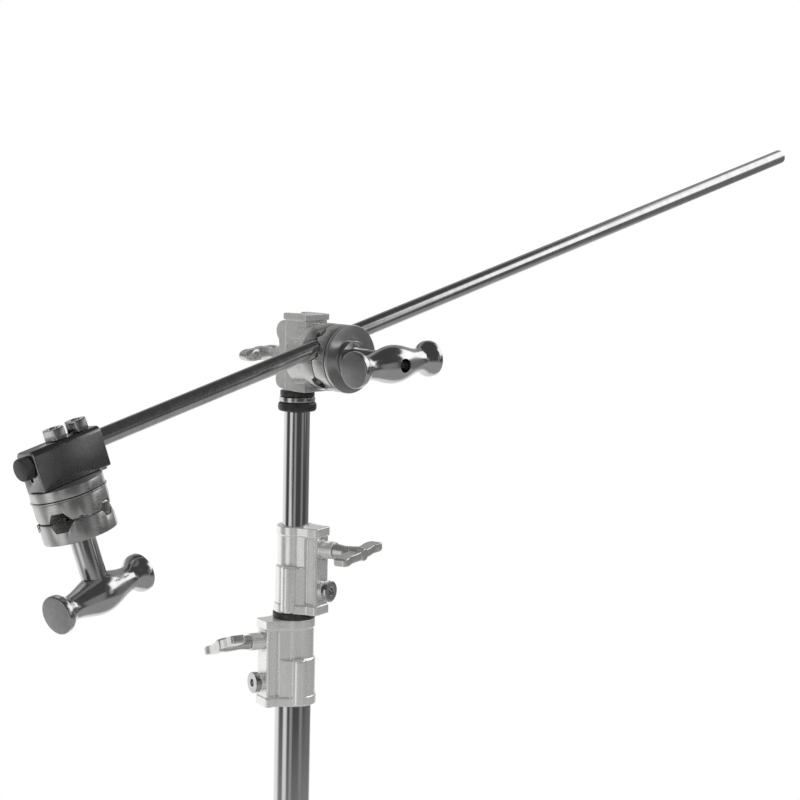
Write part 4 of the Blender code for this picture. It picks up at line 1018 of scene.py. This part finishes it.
class DiscOperator(Operator):
    """Build the clamping discs, the plate and the rings of both heads"""

    bl_idname = "grip_stand.discs"
    bl_label = "Clamping discs"

    def execute(self, context):
        radius = context.scene.stand_sizes.disc_radius
        bore = BOLT_RADIUS + FIT
        stations = {}
        for name in ("head_disc_inner", "head_disc_outer"):
            low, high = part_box(name)
            stations[name] = ("head", DISC_PLACE, -high.y, -low.y)
        stations["end_disc_upper"] = ("end", END_PLACE, END_PLACES["upper"], END_PLACES["upper_face"])
        stations["end_disc_lower"] = ("end", END_PLACE, END_PLACES["lower"], END_PLACES["lower_front"])
        partings = {"head": PARTING, "end": (END_PLACES["upper_face"] + END_PLACES["lower"]) / 2}
        for name, (head, place, start, end) in stations.items():
            body = solid("finished_" + name, sleeve(bore, radius, start, end, soften=DISC_CHAMFER), place)
            channels = [self.channel(partings[head], radius, *channel) for channel in CHANNELS[head]]
            combine(body, channels, place, "DIFFERENCE")
            softened(body, 0.0004)
            stand_for(body, name, head + "_disc")
        for name, outer, finish, soften in (
                ("head_washer", HEAD_WASHER_RADIUS, "black_plastic", 0.0003),
                ("head_plate", HEAD_PLATE_RADIUS, "turned_face", 0.0009)):
            low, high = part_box(name)
            finished(name, sleeve(bore, outer, -high.y, -low.y, FINEST, soften), finish, DISC_PLACE)
        start = BRACKET["skirt"] + FIT + END_BASE_THICKNESS + FIT
        ring = sleeve(bore, END_RING["radius"], start, start + END_RING["thickness"], FINEST)
        finished("end_ring", ring, "turned_face", END_PLACE)
        return {"FINISHED"}

    @staticmethod
    def channel(parting, radius, direction, offset, bar):
        """A six-sided channel across the discs, sized for a round bar."""
        deep = bar + FIT
        wide, narrow = deep / math.cos(math.radians(30)), deep * math.tan(math.radians(30))
        section = [(-wide, 0), (-narrow, -deep), (narrow, -deep), (wide, 0), (narrow, deep), (-narrow, deep)]
        shape = moved(slab(section, -2 * radius, 2 * radius), turn(90, "X"))
        return moved(shape, turn(direction, "Z") @ Matrix.Translation((offset, 0, parting)))


class HandleOperator(Operator):
    """Build the two T-handles with their stems and bolts"""

    bl_idname = "grip_stand.handles"
    bl_label = "T-handles"

    def execute(self, context):
        sizes = context.scene.handle_sizes
        front = -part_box("head_plate")[0].y
        self.handle(sizes, "head", DISC_PLACE, front, STEM_FLANGE_RADIUS, PIN_RADIUS + 4 * FIT)
        start = context.scene.stand_sizes.arm_radius + 2 * FIT
        self.handle(sizes, "end", END_PLACE, END_PLACES["lower_front"], STEM_RADIUS, start)
        return {"FINISHED"}

    @staticmethod
    def radius(sizes, along):
        """Radius of the bar, from 0 at its middle to 1 at its end."""
        if along < HANDLE_NECK:
            swing = 0.5 - 0.5 * math.cos(math.pi * along / HANDLE_NECK)
            return sizes.waist_radius + (sizes.neck_radius - sizes.waist_radius) * swing
        swing = 0.5 - 0.5 * math.cos(math.pi * (along - HANDLE_NECK) / (1 - HANDLE_NECK))
        return sizes.neck_radius + (sizes.end_radius - sizes.neck_radius) * swing

    def profile(self, sizes):
        """Half of the bar's section, from one end to the other."""
        half, end = sizes.length / 2, sizes.end_radius
        rim = half - HANDLE_RIM
        points = [(0, -half)] + rounded([(0.0, -half), (end, -half), (end, -rim)], HANDLE_CORNER, 5)[1:-1]
        for k in range(-HANDLE_STEPS, HANDLE_STEPS + 1):
            along = k / HANDLE_STEPS
            points.append((self.radius(sizes, abs(along)), rim * along))
        return points + rounded([(end, rim), (end, half), (0.0, half)], HANDLE_CORNER, 5)[1:-1] + [(0, half)]

    def handle(self, sizes, label, place, seat, flange, bolt_start):
        """A bar across the top of its stem, and the bolt that it turns."""
        bar_at = seat + HANDLE_STANDOFF[label]
        grip = place @ Matrix.Translation((0, 0, bar_at)) @ turn(HANDLE_TURN[label], "Z")
        bar = turned(self.profile(sizes), soften=0.0)
        bar = solid("finished_%s_handle_bar" % label, along_x(bar), grip)
        sunk = sizes.waist_radius * STEM_SUNK
        well = rod(STEM_RADIUS + FIT, -THROUGH / 2, -sunk)
        eye = rod(sizes.hole_radius, -THROUGH / 2, THROUGH / 2)
        combine(bar, [well, eye], grip, "DIFFERENCE")
        stand_for(bar, label + "_handle_bar", "chromed_steel", HANDLE_SHARP)
        bar.data.materials.append(FINISHES["turned_end"])
        axis, end_face = grip.to_3x3() @ Vector((1, 0, 0)), sizes.length / 2 - 0.0002
        for face in bar.data.polygons:
            if abs((face.center - grip.translation).dot(axis)) > end_face:
                face.material_index = 1
        bore = BOLT_RADIUS + FIT
        bottom, top = seat + FIT - bar_at, -sunk - FIT
        stem = [(bore, bottom), (flange, bottom)]
        if flange > STEM_RADIUS:
            stem += [(flange, bottom + STEM_FLANGE_HEIGHT), (STEM_RADIUS, bottom + STEM_FLANGE_HEIGHT)]
        stem += [(STEM_RADIUS, top), (bore, top)]
        finished(label + "_handle_stem", turned(stem, soften=0.0009), "chromed_steel", grip)
        bolt = rod(BOLT_RADIUS, bolt_start, bar_at - sunk - 2 * FIT, SMALL, soften=0.0008)
        finished(label + "_clamp_bolt", bolt, "chromed_steel", place)


class ArmOperator(Operator):
    """Build the boom arm's rod and its end cap"""

    bl_idname = "grip_stand.arm"
    bl_label = "Boom arm"

    def execute(self, context):
        sizes = context.scene.stand_sizes
        radius, tip = sizes.arm_radius, sizes.arm_tip
        cap_start = (ARM_PLACE.inverted() @ END_AT).x - BRACKET["left"] - FIT
        cap_end = cap_start - ARM_CAP["length"]
        rod_end = cap_end + ARM_CAP["end"] + FIT
        bar = turned([(0, rod_end), (radius, rod_end), (radius, tip), (0, tip)], soften=0.0012)
        finished("arm_rod", along_x(bar), "arm_chrome", ARM_PLACE)
        cap = rod(ARM_CAP["radius"], cap_end, cap_start, FINE, soften=0.0016)
        cap = solid("finished_arm_end_cap", along_x(cap), ARM_PLACE)
        bore = along_x(rod(radius + FIT, rod_end - FIT, 0.0))
        combine(cap, [bore], ARM_PLACE, "DIFFERENCE")
        stand_for(cap, "arm_end_cap", "blackened_steel")
        return {"FINISHED"}


class BracketOperator(Operator):
    """Build the bracket, the saddle, the set screws and the spring of the end head"""

    bl_idname = "grip_stand.bracket"
    bl_label = "End bracket"

    def execute(self, context):
        sizes = context.scene.stand_sizes
        arm = sizes.arm_radius
        saddle_half = arm + FIT + SADDLE_WALL
        top = saddle_half + FIT + BRACKET["sheet"]
        self.bracket(top, arm)
        self.saddle(saddle_half, arm, sizes.disc_radius)
        for label, centre in SET_SCREWS_AT.items():
            self.set_screw(label, centre, top, arm)
        keep_node("end_disc_spring", "blackened_steel")
        return {"FINISHED"}

    @staticmethod
    def screw_holes():
        """Cutters for the set screws' holes."""
        return [moved(rod(SET_SCREW_RADIUS + FIT, -THROUGH / 2, 0.0, SMALL), Matrix.Translation((at, 0, 0)))
                for at in SET_SCREWS_AT.values()]

    def bracket(self, half, arm):
        """A folded sheet over the arm, with a slot behind it."""
        left, right, bend, skirt, sheet = (BRACKET[k] for k in ("left", "right", "bend", "skirt", "sheet"))
        stand_up = turn(180, "X") @ turn(90, "Y") @ turn(90, "Z")
        outline = [(-half, -skirt)] + arc((-half + bend, half - bend), bend, 180, 90, BEND_STEPS)
        outline += arc((half - bend, half - bend), bend, 90, 0, BEND_STEPS) + [(half, -skirt)]
        body = solid("finished_end_bracket", moved(slab(outline, -left, right), stand_up), END_PLACE)
        softened(body, 0.0016, 3)
        inner, turn_in = half - sheet, bend - sheet
        hollow = [(-inner, -2 * skirt)] + arc((-inner + turn_in, inner - turn_in), turn_in, 180, 90, 8)
        hollow += arc((inner - turn_in, inner - turn_in), turn_in, 90, 0, 8) + [(inner, -2 * skirt)]
        slot = BRACKET["slot"] / 2
        removed = [
            moved(slab(hollow, -left + sheet, right - sheet), stand_up),
            along_x(rod(arm + FIT, -THROUGH, THROUGH)),
            block((-THROUGH, -slot, 0.0), (-left / 2, slot, BRACKET["slot_drop"])),
        ]
        combine(body, removed + self.screw_holes(), END_PLACE, "DIFFERENCE")
        softened(body, 0.0004)
        stand_for(body, "end_bracket", "dark_plate")

    def saddle(self, half, arm, disc_radius):
        """The block under the arm with the round base that the discs turn on."""
        left = -BRACKET["left"] + BRACKET["sheet"] + FIT
        right = BRACKET["right"] - BRACKET["sheet"] - FIT
        base_top = BRACKET["skirt"] + FIT
        shape = block((left, -half, -half), (right, half, base_top + SADDLE_OVERLAP))
        body = solid("finished_end_saddle", shape, END_PLACE)
        base = rod(disc_radius, base_top, base_top + END_BASE_THICKNESS, FINE, soften=0.001)
        combine(body, [base], END_PLACE, "UNION")
        removed = [along_x(rod(arm + FIT, -THROUGH, THROUGH)), rod(BOLT_RADIUS + FIT, 0.0, THROUGH, SMALL)]
        combine(body, removed + self.screw_holes(), END_PLACE, "DIFFERENCE")
        softened(body, 0.0004)
        stand_for(body, "end_saddle", "end_disc")

    @staticmethod
    def set_screw(label, centre, top, arm):
        """A screw with a six-sided head that holds the arm."""
        seat = -top - FIT
        crown = seat - SET_HEAD_HEIGHT
        place = END_PLACE @ Matrix.Translation((centre, 0, 0))
        hexagon = arc((0, 0), SET_HEAD_RADIUS, 0, 300, 5)
        body = solid("finished_end_set_screw_" + label, slab(hexagon, crown, seat), place)
        combine(body, [rod(SET_SCREW_RADIUS, seat - OVERLAP, -arm - FIT, SMALL)], place, "UNION")
        dimple = rod(SET_SCREW_RADIUS, crown - 10 * OVERLAP, crown + SET_SCREW_SUNK, SMALL)
        combine(body, [dimple], place, "DIFFERENCE")
        softened(body, 0.0006, 3)
        stand_for(body, "end_set_screw_" + label, "chromed_steel")


# Stage


# Where the camera stands from the middle head, its side counted from +X in degrees, and how it is turned
CAMERA_OFFSET = Vector((-1.3179, -1.4164, 0.1801))
CAMERA_SIDE = math.degrees(math.atan2(CAMERA_OFFSET.y, CAMERA_OFFSET.x))
CAMERA_TURN = {"yaw": 45.84, "pitch": -6.58, "roll": 1.20}

# Each lamp's place, share of the main lamp's power, width and height
LAMPS = {
    "key_lamp": ((-2.6, -1.8, 3.3), 1.0, 1.6, 1.2),
    "fill_lamp": ((1.5, -3.2, 2.0), 0.3, 0.5, 1.6),
    "rim_lamp": ((-1.2, 2.6, 3.4), 0.5, 1.6, 0.8),
}

# The floor's thickness, and the shares of its radius between which it fades to white
FLOOR_THICKNESS = 0.01
FLOOR_FADE = (0.45, 0.98)

# What the metal mirrors: a grey ground, and above it dark with cards in it. For each card its middle and
# half width in degrees to the right of the camera's side, how softly it ends, the heights (as sines)
# between which it stands, and its level
DARK_LEVEL = 0.07
GROUND_LEVEL = 0.36
HORIZON = (-0.36, -0.16)
CARDS = {
    "upper_wall": (180, 70, 20, (0.0, 0.7), 0.32),
    "wall_behind": (-158, 56, 14, (-1.0, 0.14), 0.95),
    "left_card": (-50, 11, 7, (-0.7, 0.3), 0.8),
    "front_card": (-11, 7, 5, (-0.3, 0.3), 0.36),
    "front_right_card": (52, 8, 6, (-0.3, 0.3), 0.27),
    "right_card": (125, 22, 16, (-0.3, 0.1), 0.18),
    "side_card": (79, 5, 3, (0.02, 0.4), 0.5),
    "soft_box": (113, 30, 4, (0.25, 0.72), 1.5),
}
CARD_FADE = 0.14


def screen_material(name):
    """Soft cards round the stand over a grey ground, by direction from the middle head."""
    material = bpy.data.materials.new(name)
    material.use_nodes = True
    tree = material.node_tree
    tree.nodes.clear()
    out = node(tree, "ShaderNodeOutputMaterial")
    glow = node(tree, "ShaderNodeEmission")
    place = node(tree, "ShaderNodeTexCoord")
    aimed = node(tree, "ShaderNodeVectorMath", operation="SUBTRACT")
    aimed.inputs[1].default_value = HEAD_AT
    unit = node(tree, "ShaderNodeVectorMath", operation="NORMALIZE")
    flat = node(tree, "ShaderNodeVectorMath", operation="MULTIPLY")
    flat.inputs[1].default_value = (1, 1, 0)
    level = node(tree, "ShaderNodeVectorMath", operation="NORMALIZE")
    split = node(tree, "ShaderNodeSeparateXYZ")
    link(tree, place, "Object", aimed, 0)
    link(tree, aimed, "Vector", unit, 0)
    link(tree, unit, "Vector", split, "Vector")
    link(tree, unit, "Vector", flat, 0)
    link(tree, flat, "Vector", level, 0)
    height = ranged(tree, split, "Z", 0.0, 1.0, HORIZON)
    base = shades(tree, height, "Result", (GROUND_LEVEL,) * 3, (DARK_LEVEL,) * 3, (0.0, 1.0))
    tone = (base, "Color")
    for middle, half, soft, heights, strength in CARDS.values():
        side = math.radians(CAMERA_SIDE + middle)
        facing = node(tree, "ShaderNodeVectorMath", operation="DOT_PRODUCT")
        facing.inputs[1].default_value = (math.cos(side), math.sin(side), 0)
        link(tree, level, "Vector", facing, 0)
        sides = (math.cos(math.radians(half + soft)), math.cos(math.radians(half - soft)))
        foot, head = ((at - CARD_FADE / 2, at + CARD_FADE / 2) for at in heights)
        masks = [
            ranged(tree, facing, "Value", 0.0, 1.0, sides),
            ranged(tree, split, "Z", 0.0, 1.0, foot),
            ranged(tree, split, "Z", 1.0, 0.0, head),
        ]
        for mask in masks:
            mask.interpolation_type = "SMOOTHSTEP"
        both = node(tree, "ShaderNodeMath", operation="MULTIPLY")
        card = node(tree, "ShaderNodeMath", operation="MULTIPLY")
        link(tree, masks[0], "Result", both, 0)
        link(tree, masks[1], "Result", both, 1)
        link(tree, both, 0, card, 0)
        link(tree, masks[2], "Result", card, 1)
        tone = blended(tree, tone, (strength,) * 3, card)
    link(tree, *tone, glow, "Color")
    link(tree, glow, "Emission", out, "Surface")
    return material


class StageOperator(Operator):
    """Set the floor, the studio screens, the lamps, the camera and the background"""

    bl_idname = "grip_stand.stage"
    bl_label = "Stage"

    def execute(self, context):
        stage = context.scene.stage_settings
        self.floor(stage)
        self.screens(stage)
        self.lamps(context, stage)
        self.background(context, stage)
        self.camera(context, stage)
        context.scene.view_settings.view_transform = "Standard"
        return {"FINISHED"}

    @staticmethod
    def floor(stage):
        """A round pale floor that fades to white at its edge."""
        top, radius = LEG["floor"], stage.floor_radius
        bottom = top - FLOOR_THICKNESS
        profile = [(0, bottom), (radius, bottom), (radius, top), (0, top)]
        floor = solid("floor", turned(profile, FINEST, soften=0.004))
        material = bpy.data.materials.new("pale_floor")
        material.use_nodes = True
        tree = material.node_tree
        shader = tree.nodes["Principled BSDF"]
        shader.inputs["Base Color"].default_value = (0.86, 0.86, 0.86, 1)
        shader.inputs["Roughness"].default_value = 0.7
        place = node(tree, "ShaderNodeTexCoord")
        length = node(tree, "ShaderNodeVectorMath", operation="LENGTH")
        link(tree, place, "Object", length, 0)
        fade = ranged(tree, length, "Value", 0.0, 1.0, [radius * share for share in FLOOR_FADE])
        fade.interpolation_type = "SMOOTHSTEP"
        white = node(tree, "ShaderNodeEmission")
        mix = node(tree, "ShaderNodeMixShader")
        link(tree, fade, "Result", mix, "Fac")
        tree.links.new(shader.outputs["BSDF"], mix.inputs[1])
        tree.links.new(white.outputs["Emission"], mix.inputs[2])
        link(tree, mix, "Shader", tree.nodes["Material Output"], "Surface")
        floor.data.materials.append(material)
        floor.data.shade_smooth()
        floor.visible_glossy = False

    @staticmethod
    def screens(stage):
        """A round screen that only the metal shows."""
        shape = bmesh.new()
        bmesh.ops.create_uvsphere(shape, u_segments=96, v_segments=48, radius=stage.studio_radius)
        screen = solid("studio_screen", shape, Matrix.Translation(HEAD_AT))
        screen.data.materials.append(screen_material("screen_cards"))
        screen.visible_camera = False
        screen.visible_diffuse = False
        screen.visible_shadow = False
        screen.visible_transmission = False

    @staticmethod
    def lamps(context, stage):
        """Soft lamps aimed at the middle head, which the metal doesn't mirror."""
        for name, (at, share, width, height) in LAMPS.items():
            data = bpy.data.lights.new(name, "AREA")
            data.shape = "RECTANGLE"
            data.size, data.size_y = width, height
            data.energy = stage.key_power * share
            lamp = bpy.data.objects.new(name, data)
            lamp.location = at
            lamp.rotation_euler = (HEAD_AT - Vector(at)).to_track_quat("-Z", "Y").to_euler()
            lamp.visible_camera = False
            lamp.visible_glossy = False
            context.scene.collection.objects.link(lamp)

    @staticmethod
    def background(context, stage):
        """Even light from all round, with a plain white background behind the stand."""
        world = bpy.data.worlds.new("studio")
        context.scene.world = world
        world.use_nodes = True
        tree = world.node_tree
        tree.nodes.clear()
        out = node(tree, "ShaderNodeOutputWorld")
        even = node(tree, "ShaderNodeBackground")
        even.inputs["Color"].default_value = (1, 1, 1, 1)
        even.inputs["Strength"].default_value = stage.ambient
        white = node(tree, "ShaderNodeBackground")
        white.inputs["Color"].default_value = (1, 1, 1, 1)
        rays = node(tree, "ShaderNodeLightPath")
        seen = node(tree, "ShaderNodeMath", operation="MAXIMUM")
        either = node(tree, "ShaderNodeMath", operation="MAXIMUM")
        mix = node(tree, "ShaderNodeMixShader")
        link(tree, rays, "Is Camera Ray", seen, 0)
        link(tree, rays, "Is Glossy Ray", seen, 1)
        link(tree, seen, 0, either, 0)
        link(tree, rays, "Is Transmission Ray", either, 1)
        link(tree, either, 0, mix, "Fac")
        tree.links.new(even.outputs["Background"], mix.inputs[1])
        tree.links.new(white.outputs["Background"], mix.inputs[2])
        link(tree, mix, "Shader", out, "Surface")

    @staticmethod
    def camera(context, stage):
        """The camera at the photograph's viewing angle."""
        yaw, pitch, roll = (math.radians(CAMERA_TURN[k]) for k in ("yaw", "pitch", "roll"))
        view = Vector((math.sin(yaw) * math.cos(pitch), math.cos(yaw) * math.cos(pitch), math.sin(pitch)))
        right = Vector((math.cos(yaw), -math.sin(yaw), 0))
        up = right.cross(view)
        leaned_right = math.cos(roll) * right + math.sin(roll) * up
        leaned_up = math.cos(roll) * up - math.sin(roll) * right
        data = bpy.data.cameras.new("camera")
        data.sensor_width = 36.0
        data.lens = stage.lens
        data.clip_start = 0.05
        data.clip_end = 100
        camera = bpy.data.objects.new("camera", data)
        matrix = Matrix((leaned_right, leaned_up, -view)).transposed().to_4x4()
        matrix.translation = HEAD_AT + CAMERA_OFFSET
        camera.matrix_world = matrix
        context.scene.collection.objects.link(camera)
        context.scene.camera = camera


class StandPanel(Panel):
    """Lists the steps that dress the grip stand"""

    bl_idname = "VIEW3D_PT_grip_stand"
    bl_label = "Grip stand"
    bl_space_type = "VIEW_3D"
    bl_region_type = "UI"
    bl_category = "Grip stand"

    def draw(self, context):
        layout = self.layout
        for group in ("stand_sizes", "handle_sizes", "stand_looks", "stage_settings"):
            settings = getattr(context.scene, group)
            box = layout.box()
            box.label(text=settings.rna_type.name)
            for name in settings.__annotations__:
                box.prop(settings, name)
        for step in STEPS:
            layout.operator(step.bl_idname)


STEPS = (TubeOperator, BaseOperator, CollarOperator, KnobOperator, SpigotOperator, GripBodyOperator,
         DiscOperator, HandleOperator, ArmOperator, BracketOperator, StageOperator)
GROUPS = {
    "stand_sizes": StandSizes,
    "handle_sizes": HandleSizes,
    "stand_looks": StandLooks,
    "stage_settings": StageSettings,
}


def register():
    """Make the settings, the steps and the panel known to Blender."""
    for kind in (*GROUPS.values(), *STEPS, StandPanel):
        bpy.utils.register_class(kind)
    for name, kind in GROUPS.items():
        setattr(bpy.types.Scene, name, PointerProperty(type=kind))


def unregister():
    """Take the settings, the steps and the panel out again."""
    for name in GROUPS:
        delattr(bpy.types.Scene, name)
    for kind in reversed((*GROUPS.values(), *STEPS, StandPanel)):
        bpy.utils.unregister_class(kind)


def main():
    """Dress every piece and set the stage."""
    register()
    FINISHES.update(make_finishes(bpy.context.scene.stand_looks))
    for step in STEPS:
        group, name = step.bl_idname.split(".")
        getattr(getattr(bpy.ops, group), name)()


if __name__ == "__main__":
    main()
